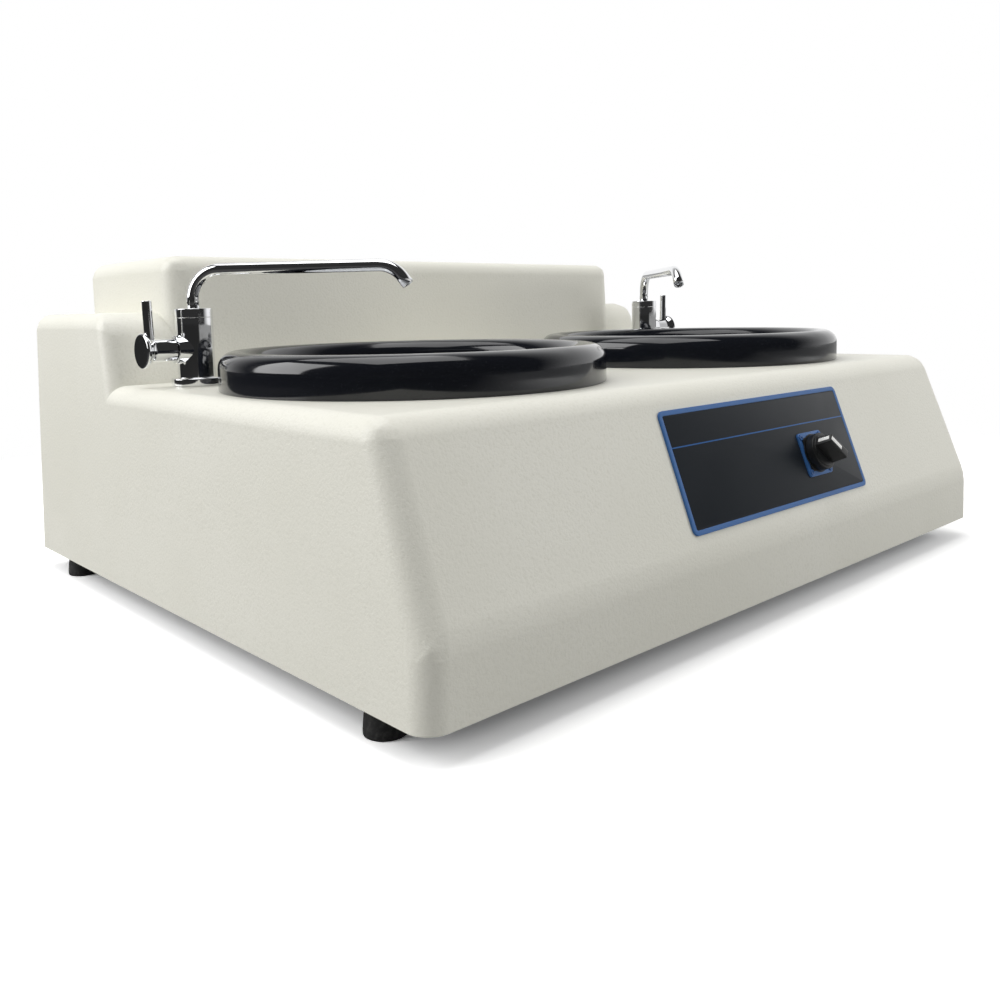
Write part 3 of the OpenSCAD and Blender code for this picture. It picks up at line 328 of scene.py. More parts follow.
slope_y = front_y + slope_back
wing_y = raised_y + 15 * mm
corner_at = {
    "rim_front": (lean_in(rim_z), front_y, rim_z), "rim_back": (lean_in(rim_z), rear_y, rim_z),
    "crease": (lean_in(crease_z), front_y, crease_z), "deck_front": (lean_in(deck_z), slope_y, deck_z),
    "wing_foot": (lean_in(deck_z), raised_y, deck_z), "wing_front": (lean_in(wing_z), wing_y, wing_z),
    "wing_back": (lean_in(wing_z), rear_y, wing_z),
    "mid_rim": (0, front_y, rim_z), "mid_crease": (0, front_y, crease_z), "mid_deck": (0, slope_y, deck_z),
    "mid_foot": (0, raised_y, deck_z), "mid_front": (0, wing_y, wing_z), "mid_back": (0, rear_y, wing_z),
    "mid_rear": (0, rear_y, rim_z)}
shell_faces = (
    "rim_front rim_back wing_back wing_front wing_foot deck_front crease",
    "mid_rim rim_front crease mid_crease", "mid_crease crease deck_front mid_deck",
    "mid_deck deck_front wing_foot mid_foot", "mid_foot wing_foot wing_front mid_front",
    "mid_front wing_front wing_back mid_back", "rim_back mid_rear mid_back wing_back",
    "mid_rim mid_rear rim_back rim_front")
round_by = {
    "rim_front crease": 16, "crease deck_front": 18, "mid_crease crease": 9, "mid_deck deck_front": 14,
    "deck_front wing_foot": 15, "wing_foot wing_front": 13, "mid_front wing_front": 22,
    "wing_front wing_back": 14, "rim_back wing_back": 15, "mid_back wing_back": 13}
print("half a shell:", len(corner_at), "corners,", len(shell_faces), "faces,", len(round_by), "round edges")


# %% Weigh and round a cage
def cage_mesh():
    """A bmesh whose edges can be weighed. The layer comes first, because adding it later drops all edges."""
    bm = bmesh.new()
    bm.edges.layers.float.new("bevel_weight_edge")
    return bm


def weigh(bm, edges, amounts, widest):
    """Stores on each edge how much of its corner the Bevel modifier takes off."""
    weight = bm.edges.layers.float["bevel_weight_edge"]
    for edge, amount in zip(edges, amounts):
        edge[weight] = amount / widest


def mesh_object(bm, name):
    """An object that only helps, such as a cutter, or the floor."""
    mesh = bpy.data.meshes.new(name)
    bm.to_mesh(mesh)
    bm.free()
    helper = bpy.data.objects.new(name, mesh)
    bpy.context.scene.collection.objects.link(helper)
    return helper


def round_edges(piece, widest):
    """Rounds the weighed edges and applies the rounding."""
    rounding = piece.modifiers.new("rounding", "BEVEL")
    rounding.limit_method, rounding.width, rounding.segments = "WEIGHT", widest, 10
    rounding.use_clamp_overlap = False
    return applied(piece)


# %% Build the shell from its cage
cage = cage_mesh()
corner = {name: cage.verts.new(place) for name, place in corner_at.items()}
for face in shell_faces:
    cage.faces.new([corner[name] for name in face.split()])
widest = 22 * mm
edges = [cage.edges.get([corner[name] for name in ends.split()]) for ends in round_by]
weigh(cage, edges, [amount * mm for amount in round_by.values()], widest)
bmesh.ops.mirror(cage, geom=cage.verts[:] + cage.edges[:] + cage.faces[:], axis="X", merge_dist=1e-5)
middle = [e for e in cage.edges if all(abs(v.co.x) < 1e-6 for v in e.verts) and len(e.link_faces) == 2]
bmesh.ops.dissolve_edges(cage, edges=middle, use_verts=True)
bmesh.ops.recalc_face_normals(cage, faces=cage.faces[:])
print("shell cage:", len(cage.verts), "corners,", len(cage.faces), "faces")
shell = finished(cage, "shell_moulding", "machine", ["shell"], "shell_white", gel)
round_edges(shell, widest)

# %% [markdown]
# ## The motor's box
# The tall box rises out of the wings with its own rounded corners. It is rounded alone and joined by a
# Boolean union, which leaves sharp inside corners where a mould has a soft hollow. These are found by
# their angle, which is negative on an inside corner, and a last bevel rounds them all together.

# %% Join the box and soften the inside corners
box_x, sink = 288 * mm, 60 * mm
back_corner, front_corner, top_corner = 12 * mm, 20 * mm, 14 * mm
hollow_r, hollow_from = 8 * mm, math.radians(16)
block = cage_mesh()
middle_at = (0, (raised_y + rear_y) / 2, (box_z + deck_z - sink) / 2)
box_size = (2 * box_x, rear_y - raised_y, box_z - deck_z + sink, 1)
bmesh.ops.create_cube(block, size=1, matrix=Matrix.Translation(middle_at) @ Matrix.Diagonal(box_size))
for v in block.verts:
    if v.co.y < rear_y - 1 * mm:
        v.co.y += draft * (v.co.z - deck_z) / (box_z - deck_z)
sides, amounts = [], []
for e in block.edges:
    ends = [v.co for v in e.verts]
    if abs(ends[0].z - ends[1].z) > sink:
        sides.append(e)
        amounts.append(back_corner if ends[0].y > rear_y - 1 * mm else front_corner)
    elif ends[0].z > deck_z:
        sides.append(e)
        amounts.append(top_corner)
weigh(block, sides, amounts, widest)
box = round_edges(mesh_object(block, "motor_box"), widest)
union = shell.modifiers.new("union", "BOOLEAN")
union.object, union.operation, union.solver = box, "UNION", "EXACT"
applied(shell)
bpy.data.objects.remove(box)
soft = bmesh.new()
soft.from_mesh(shell.data)
bmesh.ops.remove_doubles(soft, verts=soft.verts[:], dist=2e-5)
bmesh.ops.dissolve_degenerate(soft, edges=soft.edges[:], dist=1e-5)
soft.normal_update()
inside = [e for e in soft.edges if len(e.link_faces) == 2 and e.calc_face_angle_signed() < -hollow_from]
bmesh.ops.bevel(soft, geom=inside, offset=hollow_r, offset_type="OFFSET", segments=6, profile=0.5,
                affect="EDGES", material=-1, clamp_overlap=True)
under = [f for f in soft.faces if all(v.co.z < rim_z + 1e-5 for v in f.verts)]
bmesh.ops.delete(soft, geom=under, context="FACES_ONLY")
soft.to_mesh(shell.data)
soft.free()
print("joined shell:", len(shell.data.polygons), "faces,", len(inside), "inside edges softened")

# %% [markdown]
# ## Openings in the shell
# The bowls hang through round openings in the deck, and a row of slots in the back lets the motor's warm
# air out. The wall is given its thickness first, so that the cuts show it, and a Boolean cuts them all.

# %% Thicken the wall and cut the openings
wall_t, opening_r, cut_depth = 5 * mm, 132 * mm, 30 * mm
slots_a_side, slot_pitch, slot_z = 7, 14 * mm, deck_z + 50 * mm
slot_size, slot_corner = (5 * mm, 20 * mm, 60 * mm, 1), 2.4 * mm
wall = shell.modifiers.new("wall", "SOLIDIFY")
wall.thickness, wall.offset = wall_t, -1
cutters = bmesh.new()
for place in bowl_axis.values():
    disc = bmesh.new()
    bmesh.ops.create_cone(disc, cap_ends=True, segments=96, radius1=opening_r, radius2=opening_r,
                          depth=cut_depth, matrix=Matrix.Translation(place + Vector((0, 0, deck_z))))
    join(cutters, disc)
for k in range(1, slots_a_side + 1):
    for side in (-1, 1):
        slot = bmesh.new()
        slot_at = (side * slot_pitch * k, rear_y, slot_z)
        bmesh.ops.create_cube(slot, size=1, matrix=Matrix.Translation(slot_at) @ Matrix.Diagonal(slot_size))
        through = [e for e in slot.edges if abs(e.verts[0].co.y - e.verts[1].co.y) > 1 * mm]
        bmesh.ops.bevel(slot, geom=through, offset=slot_corner, offset_type="OFFSET", segments=5,
                        profile=0.5, affect="EDGES", material=-1)
        join(cutters, slot)
cutter = mesh_object(cutters, "cutter")
cut = shell.modifiers.new("cut", "BOOLEAN")
cut.object, cut.operation, cut.solver = cutter, "DIFFERENCE", "EXACT"
applied(shell)
bpy.data.objects.remove(cutter)
shade(shell.data, 40)
shell.modifiers.new("even_shading", "WEIGHTED_NORMAL").keep_sharp = True
print("cut shell:", len(shell.data.polygons), "faces")

# %% [markdown]
# ## Gloss black for the bowls
# The bowls are pressed and lacquered in a deep, slightly blue black, and they mirror the room. Lacquer is
# never quite flat: a long, low waviness bends the reflections, and a little dust dulls them here and there.

# %% Make the black lacquer
lacquer = Finish("black_lacquer", Coat_Roughness=0.03)
wave = lacquer.noise(42 * mm, 1.0, 0.4)
dust = lacquer.noise(1.2 * mm, 2.0, 0.6)
smear = lacquer.noise(55 * mm, 2.0, 0.5)
dusted = lacquer.mix(lacquer.ramp(dust, 0.62, 0.75), (0.006, 0.007, 0.010), (0.022, 0.024, 0.028))
lacquer.set(Base_Color=dusted, Roughness=lacquer.ramp(smear, 0.3, 0.75) * 0.10 + 0.07,
            Coat_Weight=lacquer.ramp(smear, 0.8, 0.2) * 0.5, Normal=lacquer.bump(wave, 0.9 * mm, 0.35))
print("lacquer nodes:", len(lacquer.tree.nodes))

# %% [markdown]
# ## The two bowls
# A bowl is a body of revolution: a rolled rim that rests on the deck, a straight wall, a flat floor and a
# short tube in the middle, which keeps water away from the spindle. So one profile is drawn from the rim
# inwards, its corners are rounded, and it is spun about the bowl's axis. The drain hole is cut afterwards,
# because it lies off the axis.

# %% Spin the bowls
rim_top, bowl_floor = deck_z + 29 * mm, deck_z - 36 * mm
drain_z = rim_z + 97 * mm
drain_off, drain_r = 67 * mm, 11


def scaled(points):
    """Profile corners in millimetres, as metres."""
    return [tuple(c * mm for c in p) for p in points]


def ring(points, steps=96):
    """A closed ring spun from a closed profile in millimetres."""
    return turn(outline(scaled(points), close=True), steps)


def cut_by(piece, tool):
    """Cuts a bmesh tool out of a piece and makes the result its own mesh."""
    helper = mesh_object(tool, "tool")
    cutting = piece.modifiers.new("cutting", "BOOLEAN")
    cutting.object, cutting.operation, cutting.solver = helper, "DIFFERENCE", "EXACT"
    applied(piece)
    bpy.data.objects.remove(helper)
    shade(piece.data)


def rod(radius, z0, z1, steps=32):
    """A closed cylinder about the Z axis."""
    bm = bmesh.new()
    bmesh.ops.create_cone(bm, cap_ends=True, segments=steps, radius1=radius, radius2=radius, depth=z1 - z0,
                          matrix=Matrix.Translation((0, 0, (z0 + z1) / 2)))
    return bm


top, low = rim_top / mm, bowl_floor / mm
spigot_low = drain_z / mm + 14.6
bowl_profile = [(149, top - 29, 0.8), (149, top, 12.4), (124, top, 12.4), (124, low, 9), (19, low, 2),
                (19, low + 16, 0.9), (15, low + 16, 0.9), (15, low - 6), (30, low - 6), (30, low - 4),
                (128, low - 4, 12), (128, top - 4, 8.4), (145, top - 4, 8.4), (145, top - 29, 0.8)]
for side, place in bowl_axis.items():
    bowl = move(ring(bowl_profile, 128), Matrix.Translation(place))
    piece = finished(bowl, side + "_bowl_lacquered", "machine", [side + "_bowl"], "bowl_black", lacquer)
    drain = Matrix.Translation(place + Vector((-out_of[side] * drain_off, drain_off, 0)))
    cut_by(piece, move(rod(drain_r * mm, bowl_floor - 6 * mm, bowl_floor + 5 * mm, 48), drain))
    whole = bmesh.new()
    whole.from_mesh(piece.data)
    spigot = ring([(drain_r, spigot_low), (13, spigot_low, 0.5), (13, low - 4), (drain_r, low - 4)], 48)
    join(whole, move(spigot, drain))
    whole.to_mesh(piece.data)
    whole.free()
    print(side, "bowl with its drain:", len(piece.data.polygons), "faces")

# %% [markdown]
# ## Turned aluminium platens
# Each platen is faced on a lathe, and the tool leaves fine rings less than a millimetre apart. The
# rings depend only on the distance from the axis, so a one-dimensional noise reads that distance, and a
# few deeper ones come from a coarser noise. The mesh is the real section: disc, hub and splash skirt.

# %% Turn the platens
ring_scale, band_scale = 1500.0, 260.0
for side, radius in (("left", 115), ("right", 100)):
    place = bowl_axis[side]
    faced = Finish(side + "_faced_aluminium", Metallic=1.0)
    level_point = faced.place(centre=place, stretch=(1, 1, 0.0001))
    reach = faced.add("ShaderNodeVectorMath", {"operation": "LENGTH"}, {0: level_point}, out="Value")
    rings, bands = (
        faced.add("ShaderNodeTexNoise", {"noise_dimensions": "1D"},
                  {"W": reach, "Scale": scale, "Detail": 1.0})
        for scale in (ring_scale, band_scale))
    scuff = faced.noise(30 * mm, 3.0, 0.6)
    worn_to = faced.ramp(bands * 0.6 + scuff * 0.4, 0.3, 0.7)
    faced.set(Base_Color=faced.mix(worn_to, (0.44, 0.45, 0.46), (0.54, 0.55, 0.56)),
              Roughness=faced.ramp(scuff, 0.25, 0.75) * 0.12 + 0.42,
              Normal=faced.bump(rings * 0.7 + bands * 0.3, 0.04 * mm, 0.4))
    top = rim_top / mm - 20
    section = [(0, top), (radius, top, 1.3), (radius, top - 12, 1.3), (33, top - 12, 1), (29, top - 16, 1),
               (29, top - 37, 0.6), (25, top - 37, 0.6), (25, top - 23, 1), (17, top - 23), (17, top - 24),
               (11.6, top - 24), (10.1, top - 4), (10.1, top - 3), (0, top - 3)]
    disc = turn(outline(scaled(section)), 128)
    finished(move(disc, Matrix.Translation(place)), side + "_platen_faced", side + "_drive",
             [side + "_platen"], "platen_aluminium", faced)

# %% [markdown]
# ## Chrome
# The taps are brass castings, polished and plated with bright chrome. Chrome has almost no colour or
# roughness of its own and shows what stands around it, so it gets only finger marks and a faint ripple
# from the polishing wheel, and the lamps and the dark side of the room do the rest.

# %% Make the chrome
chrome = Finish("bright_chrome", Metallic=1.0)
finger = chrome.noise(9 * mm, 3.0, 0.6)
ripple = chrome.noise(16 * mm, 0.0)
chrome.set(Base_Color=chrome.mix(finger, (0.80, 0.81, 0.83), (0.88, 0.885, 0.89)),
           Roughness=chrome.ramp(finger, 0.45, 0.8) * 0.09 + 0.03, Normal=chrome.bump(ripple, 0.25 * mm, 0.3))
print("chrome nodes:", len(chrome.tree.nodes))

# %% [markdown]
# ## Tap bodies, caps and handles
# A tap body is a column on a round foot, with a tapering branch that carries the valve. Column and branch
# are both spun; the branch is laid on its side and joined. The handle is a sleeve that flares into a
# mirror-flat disc, with a slim pin as its lever. The flare is a corner that is cut back in the profile.

# %% Spin the tap bodies, caps and handles
valve_z = deck_z + 29.3 * mm
low, column_top = deck_z / mm, deck_z / mm + 62
column_r, foot_r, lever_at, lever_lean = 14.7, 20, 37.4 * mm, 1.5
tap_finish = dict(slot="tap_chrome", finish=chrome)
for side, place in tap_axis.items():
    way = out_of[side]
    at_valve = Matrix.Translation(place + Vector((0, 0, valve_z)))
    to_side = at_valve @ Matrix.Rotation(math.radians(90 * way), 4, "Y")
    column = ring([(4, low - 30), (8, low - 30, 0.8), (8, low), (foot_r, low, 0.7), (foot_r, low + 6.5, 1.2),
                   (column_r, low + 6.5, 0.4), (column_r, column_top - 7.3, 0.2), (8.6, column_top - 7.3),
                   (8.6, column_top - 17.5), (4, column_top - 17.5)], 64)
    move(column, Matrix.Translation(place))
    branch = ring([(2, 3), (13.5, 3), (11, 18, 0.5), (4, 18), (4, 34, 0.5), (2, 34)], 64)
    join(column, move(branch, to_side))
    flat_lit(finished(column, side + "_tap_column", "machine", [side + "_tap_body"], **tap_finish))
    cap = ring([(5.05, column_top - 7.1), (column_r, column_top - 7.1, 0.2), (column_r, column_top, 0.7),
                (5.05, column_top, 0.4)], 64)
    move(cap, Matrix.Translation(place))
    flat_lit(finished(cap, side + "_tap_cap_ring", "machine", [side + "_tap_cap"], **tap_finish))
    sleeve = ring([(4.05, 18.4), (9.2, 18.4, 0.6), (9.2, 37.6, 2.5), (13.6, 42, 1.2), (14.2, 44.2, 0.9),
                   (13.2, 45, 0.3), (0, 45), (0, 34.6), (4.05, 34.6)], 64)
    move(sleeve, to_side)
    lever = turn(outline(scaled([(0, 0), (3.8, 0), (3.8, 39.4, 0.6), (0, 39.4)])), 32)
    lean = Matrix.Rotation(math.radians(lever_lean * way), 4, "Y")
    join(sleeve, move(lever, at_valve @ Matrix.Translation((way * lever_at, 0, 0)) @ lean))
    flat_lit(finished(sleeve, side + "_tap_lever", side + "_handle", [side + "_tap_handle"], **tap_finish))

# %% [markdown]
# ## Spouts
# A spout is one bent pipe. A circle of vertices is pushed up the column, spun through a quarter turn,
# pushed along the level run, spun again through the tip's bend and pushed out to the mouth. A wall
# is given by Solidify, so that the mouth shows a real edge and the dark inside.

# %% Bend the spouts
pipe_r, pipe_wall = 5 * mm, 0.9 * mm
bend_r, tip_r, tip_turn, tip_run = 24 * mm, 24 * mm, math.radians(52), 8 * mm
pipe_foot, spout_z, run_end = deck_z + 50 * mm, deck_z + 92.7 * mm, 154 * mm
heading = {"left": math.radians(-50), "right": math.radians(230)}


def pushed(bm, edge_loop, step):
    """Extrudes a loop of edges by a vector and returns the new loop."""
    grown = bmesh.ops.extrude_edge_only(bm, edges=edge_loop)["geom"]
    bmesh.ops.translate(bm, verts=[g for g in grown if isinstance(g, bmesh.types.BMVert)], vec=step)
    return [g for g in grown if isinstance(g, bmesh.types.BMEdge) and all(v in grown for v in g.verts)]


def bent(bm, edge_loop, centre, angle, steps):
    """Spins a loop of edges in the XZ plane and returns the new loop."""
    corners = list(dict.fromkeys(v for e in edge_loop for v in e.verts))
    grown = bmesh.ops.spin(bm, geom=edge_loop + corners, cent=centre, axis=(0, 1, 0), angle=angle,
                           steps=steps)["geom_last"]
    return [g for g in grown if isinstance(g, bmesh.types.BMEdge)]


for side, place in tap_axis.items():
    pipe = bmesh.new()
    bmesh.ops.create_circle(pipe, segments=40, radius=pipe_r, matrix=Matrix.Translation((0, 0, pipe_foot)))
    loop = pushed(pipe, pipe.edges[:], Vector((0, 0, spout_z - bend_r - pipe_foot)))
    loop = bent(pipe, loop, (bend_r, 0, spout_z - bend_r), math.radians(90), 20)
    loop = pushed(pipe, loop, Vector((run_end - bend_r, 0, 0)))
    loop = bent(pipe, loop, (run_end, 0, spout_z - tip_r), tip_turn, 14)
    pushed(pipe, loop, Vector((math.cos(tip_turn), 0, -math.sin(tip_turn))) * tip_run)
    bmesh.ops.remove_doubles(pipe, verts=pipe.verts[:], dist=1e-6)
    bmesh.ops.recalc_face_normals(pipe, faces=pipe.faces[:])
    move(pipe, Matrix.Translation(place) @ Matrix.Rotation(heading[side], 4, "Z"))
    piece = finished(pipe, side + "_spout_pipe", side + "_spout_arm", [side + "_spout"], **tap_finish)
    skin = piece.modifiers.new("pipe_wall", "SOLIDIFY")
    skin.thickness, skin.offset = pipe_wall, -1
    print(side, "spout faces before its wall:", len(piece.data.polygons))

# %% [markdown]
# ## Panel, border and switch plate
# The control panel is an aluminium plate with a satin black film and a blue printed border, and the switch
# has a blue plate of its own. The plates are drawn lying flat, with their corners rounded by a vertex
# bevel and their top edges by an edge bevel, and are then laid on the slope. The thin blue line across the
# panel is ink, so it is colour only: a mask on the distance up the slope.

# %% Make the panel's finishes
slope_turn = Matrix.Rotation(math.pi / 2 - slope, 4, "X")
on_slope = Matrix.Translation((0, front_y, crease_z)) @ slope_turn
up_slope = Vector((0, math.sin(slope), math.cos(slope)))


def satin(name, dark, light, rough=0.32):
    """A film, paint or moulding with a dull shine and a very fine grain."""
    film = Finish(name)
    fine = film.noise(0.5 * mm, 2.0, 0.6)
    cloudy = film.noise(40 * mm, 2.0)
    film.set(Base_Color=film.mix(film.ramp(cloudy * 0.5 + fine * 0.5, 0.3, 0.7), dark, light),
             Roughness=film.ramp(cloudy, 0.3, 0.7) * 0.08 + rough, Normal=film.bump(fine, 0.03 * mm, 0.5))
    return film


film_blue = satin("blue_print", (0.034, 0.120, 0.330), (0.040, 0.135, 0.360))
film_black = satin("black_film", (0.0135, 0.0165, 0.021), (0.0165, 0.020, 0.025), 0.30)
climb = film_black.add("ShaderNodeVectorMath", {"operation": "DOT_PRODUCT"}, {
    0: film_black.place(centre=(0, front_y, crease_z)), 1: up_slope}, out="Value")
line_at, half_line = 77.5 * mm, 0.45 * mm
line = abs(climb - line_at) < half_line
plain = film_black.shader.inputs["Base Color"].links[0].from_socket
film_black.shader.inputs["Specular IOR Level"].default_value = 0.2
film_black.set(Base_Color=film_black.mix(line, Wire(film_black, plain), (0.033, 0.115, 0.32)))
print("panel line at", round(line_at, 4), "m up the slope")


# %% Lay the plates on the slope
def plate(wide, high, corner, thick, at, out=0.0, soft=0.35, hole=None):
    """A rounded plate in millimetres, lying on the slope with its middle at (x, up) and its top softened."""
    bm = bmesh.new()
    area = Matrix.Diagonal((wide * mm, high * mm, 1, 1))
    bmesh.ops.create_grid(bm, x_segments=1, y_segments=1, size=0.5, matrix=area)
    bmesh.ops.bevel(bm, geom=bm.verts[:], offset=corner * mm, offset_type="OFFSET", segments=6, profile=0.5,
                    affect="VERTICES", material=-1)
    if hole:
        inset = bmesh.ops.inset_individual(bm, faces=bm.faces[:], thickness=hole * mm, use_even_offset=True)
        bmesh.ops.delete(bm, geom=[f for f in bm.faces if f not in inset["faces"]], context="FACES")
    raised = bmesh.ops.extrude_face_region(bm, geom=bm.faces[:])["geom"]
    lifted = [g for g in raised if isinstance(g, bmesh.types.BMVert)]
    bmesh.ops.translate(bm, verts=lifted, vec=(0, 0, thick * mm))
    bmesh.ops.recalc_face_normals(bm, faces=bm.faces[:])
    rim = [e for e in bm.edges if all(v.co.z > thick * mm / 2 for v in e.verts)
           and len(e.link_faces) == 2 and e.calc_face_angle() > math.radians(30)]
    bmesh.ops.bevel(bm, geom=rim, offset=soft * mm, offset_type="OFFSET", segments=3, profile=0.5,
                    affect="EDGES", material=-1)
    return move(bm, on_slope @ Matrix.Translation((at[0] * mm, at[1] * mm, out * mm)))


panel_at, switch_at = (12, 60), (69, 51.7)
board = finished(plate(240.8, 81.8, 2.5, 1.5, panel_at), "control_panel_film", "machine",
                 ["control_panel"], "panel_black", film_black)
at_switch = on_slope @ Matrix.Translation((switch_at[0] * mm, switch_at[1] * mm, 0))
shaft_hole_r = 5 * mm
cut_by(board, move(rod(shaft_hole_r, -2 * mm, 4 * mm), at_switch))
finished(plate(248, 89, 5, 1.55, panel_at, soft=0.2, hole=3.6), "panel_border", "machine",
         ["panel_frame"], "panel_blue", film_blue)

# %% [markdown]
# ## Switch and knob
# A cam switch has a square plate with a screw in each corner, a low round skirt, and a bar to grip. The
# bar carries a white line along its top and down its front end, so that its position shows from afar. The
# bar tapers a little and its edges are soft, because it is moulded.

# %% Build the switch plate and the knob
switch_black = satin("moulded_black", (0.010, 0.0105, 0.011), (0.015, 0.0155, 0.016), 0.36)
square = finished(plate(36, 36, 3, 1.5, switch_at, 1.5), "switch_plate_blue", "machine",
                  ["switch_plate"], "panel_blue", film_blue)
cut_by(square, move(rod(shaft_hole_r, 0, 5 * mm), at_switch))
black_square = plate(28, 28, 1.5, 0.9, switch_at, 3.0, 0.3)
join(black_square, move(ring([(5.2, 3.2), (16, 3.2), (16, 4, 0.3), (5.2, 4)], 64), at_switch))
finished(black_square, "switch_skirt_base", "machine", [], "switch_black", switch_black)
knob = turn(outline(scaled([(0, -12), (3, -12), (3, 4.3), (15, 4.3, 0.5), (15, 11.2, 0.9), (13.2, 11.2, 0.4),
                            (13.2, 12.2, 0.4), (0, 12.2)])), 96)
bar = bmesh.new()
bar_size, bar_middle = (9 * mm, 24.2 * mm, 13.6 * mm, 1), (0, 0, 18.3 * mm)
taper_x, taper_y = 0.86, 0.97
bmesh.ops.create_cube(bar, size=1, matrix=Matrix.Translation(bar_middle) @ Matrix.Diagonal(bar_size))
upper = [v for v in bar.verts if v.co.z > bar_middle[2]]
for v in upper:
    v.co.x *= taper_x
    v.co.y *= taper_y
sharp = [e for e in bar.edges if any(v in upper for v in e.verts)]
bmesh.ops.bevel(bar, geom=sharp, offset=1.1 * mm, offset_type="OFFSET", segments=5, profile=0.5,
                affect="EDGES", material=-1)
to_pointer = at_switch @ Matrix.Rotation(math.radians(45), 4, "Z")
join(knob, bar)
finished(move(knob, to_pointer), "knob_grip", "knob", ["switch_knob"], "switch_black", switch_black)
ink = satin("white_ink", (0.84, 0.84, 0.82), (0.88, 0.88, 0.86), 0.4)
marks = bmesh.new()
line_w = 3.4
for middle, size in (((0, 4.0, 25.1), (line_w, 13.6, 0.3)), ((0, 11.95, 18.6), (line_w, 0.6, 9.6))):
    bmesh.ops.create_cube(marks, size=1, matrix=Matrix.Translation(Vector(middle) * mm)
                          @ Matrix.Diagonal((*(Vector(size) * mm), 1)))
bmesh.ops.bevel(marks, geom=marks.edges[:], offset=0.1 * mm, offset_type="OFFSET", segments=2, profile=0.5,
                affect="EDGES", material=-1)
finished(move(marks, to_pointer), "knob_pointer_line", "knob", [], "switch_black", ink)

# %% [markdown]
# ## Screws of the switch
# Small pan heads with a cross recess. The recess is cut with one row of thin blocks and then with a second
# row across it, because blocks that cross inside one tool make the Boolean empty the piece.

# %% Model the switch screws
zinc_blue = satin("blue_screw_paint", (0.030, 0.095, 0.27), (0.045, 0.13, 0.34), 0.25)
screw_off, cross_size = 14.5 * mm, (2.9 * mm, 0.55 * mm, 1.1 * mm, 1)
screw_spots = [at_switch @ Matrix.Translation((x, y, 0))
               for x in (-screw_off, screw_off) for y in (-screw_off, screw_off)]
screws = bmesh.new()
for spot in screw_spots:
    screw = turn(outline(scaled([(0, -8), (1.6, -8), (1.6, 3), (2.4, 3), (2.4, 4, 0.5), (0, 4)])), 32)
    join(screws, move(screw, spot))
heads = finished(screws, "switch_screw_heads", "machine", ["switch_screws"], "panel_blue", zinc_blue)
for turned in (20, 110):
    slots = bmesh.new()
    for spot in screw_spots:
        bmesh.ops.create_cube(slots, size=1, matrix=spot @ Matrix.Translation((0, 0, 4 * mm))
                              @ Matrix.Rotation(math.radians(turned), 4, "Z")
                              @ Matrix.Diagonal(cross_size))
    cut_by(heads, slots)
print("screw heads after the cuts:", len(heads.data.polygons), "faces")

# %% [markdown]
# ## Rubber feet
# The feet are short rubber cones with a bead around the foot and a recess underneath for the screw. Rubber
# is nearly black, dull and a little dusty on the side, which a fine noise gives.

# %% Spin the feet
rubber = Finish("foot_rubber")
dusty = rubber.noise(3 * mm, 3.0, 0.65)
dusty_at = rubber.ramp(dusty, 0.45, 0.75)
rubber.set(Base_Color=rubber.mix(dusty_at, (0.012, 0.012, 0.012), (0.045, 0.044, 0.042)),
           Roughness=rubber.ramp(dusty, 0.2, 0.8) * 0.2 + 0.55, Normal=rubber.bump(dusty, 0.12 * mm, 0.6))
feet_low, feet_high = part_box("feet")
bead_r = 13.3
foot_x = feet_high.x - bead_r * mm
feet = bmesh.new()
for x in (-foot_x, foot_x):
    for y in (feet_low.y + bead_r * mm, feet_high.y - bead_r * mm):
        foot = ring([(8.5, 0), (bead_r, 0, 1), (bead_r, 3.6, 0.8), (11.5, 21), (4.1, 21), (4.1, 6),
                     (8.5, 6)], 64)
        join(feet, move(foot, Matrix.Translation((x, y, 0))))
finished(feet, "rubber_feet", "machine", ["feet"], "foot_rubber", rubber)

# %% [markdown]
# ## Finishes for the inner pieces
# Everything else keeps its solid shape, and most of it hides inside the shell: frame, drive, motor and
# pipes. Each still gets the surface that it has in the workshop, so that the machine looks right with the
# shell taken off: zinc, enamel, ground steel, grey iron, fabric-faced belts, brass, copper and pipe plastic.


# %% Make and assign the inner finishes
def surface(name, dark, light, rough, grain, depth, metallic=1.0):
    """A metal or paint whose tone, roughness and surface follow one noise."""
    made = Finish(name, Metallic=metallic)
    texture = made.noise(grain, 3.0, 0.6)
    wide = made.noise(grain * 14, 2.0)
    made.set(Base_Color=made.mix(made.ramp(texture * 0.6 + wide * 0.4, 0.3, 0.7), dark, light),
             Roughness=made.ramp(wide, 0.3, 0.7) * 0.14 + rough, Normal=made.bump(texture, depth, 0.5))
    return made


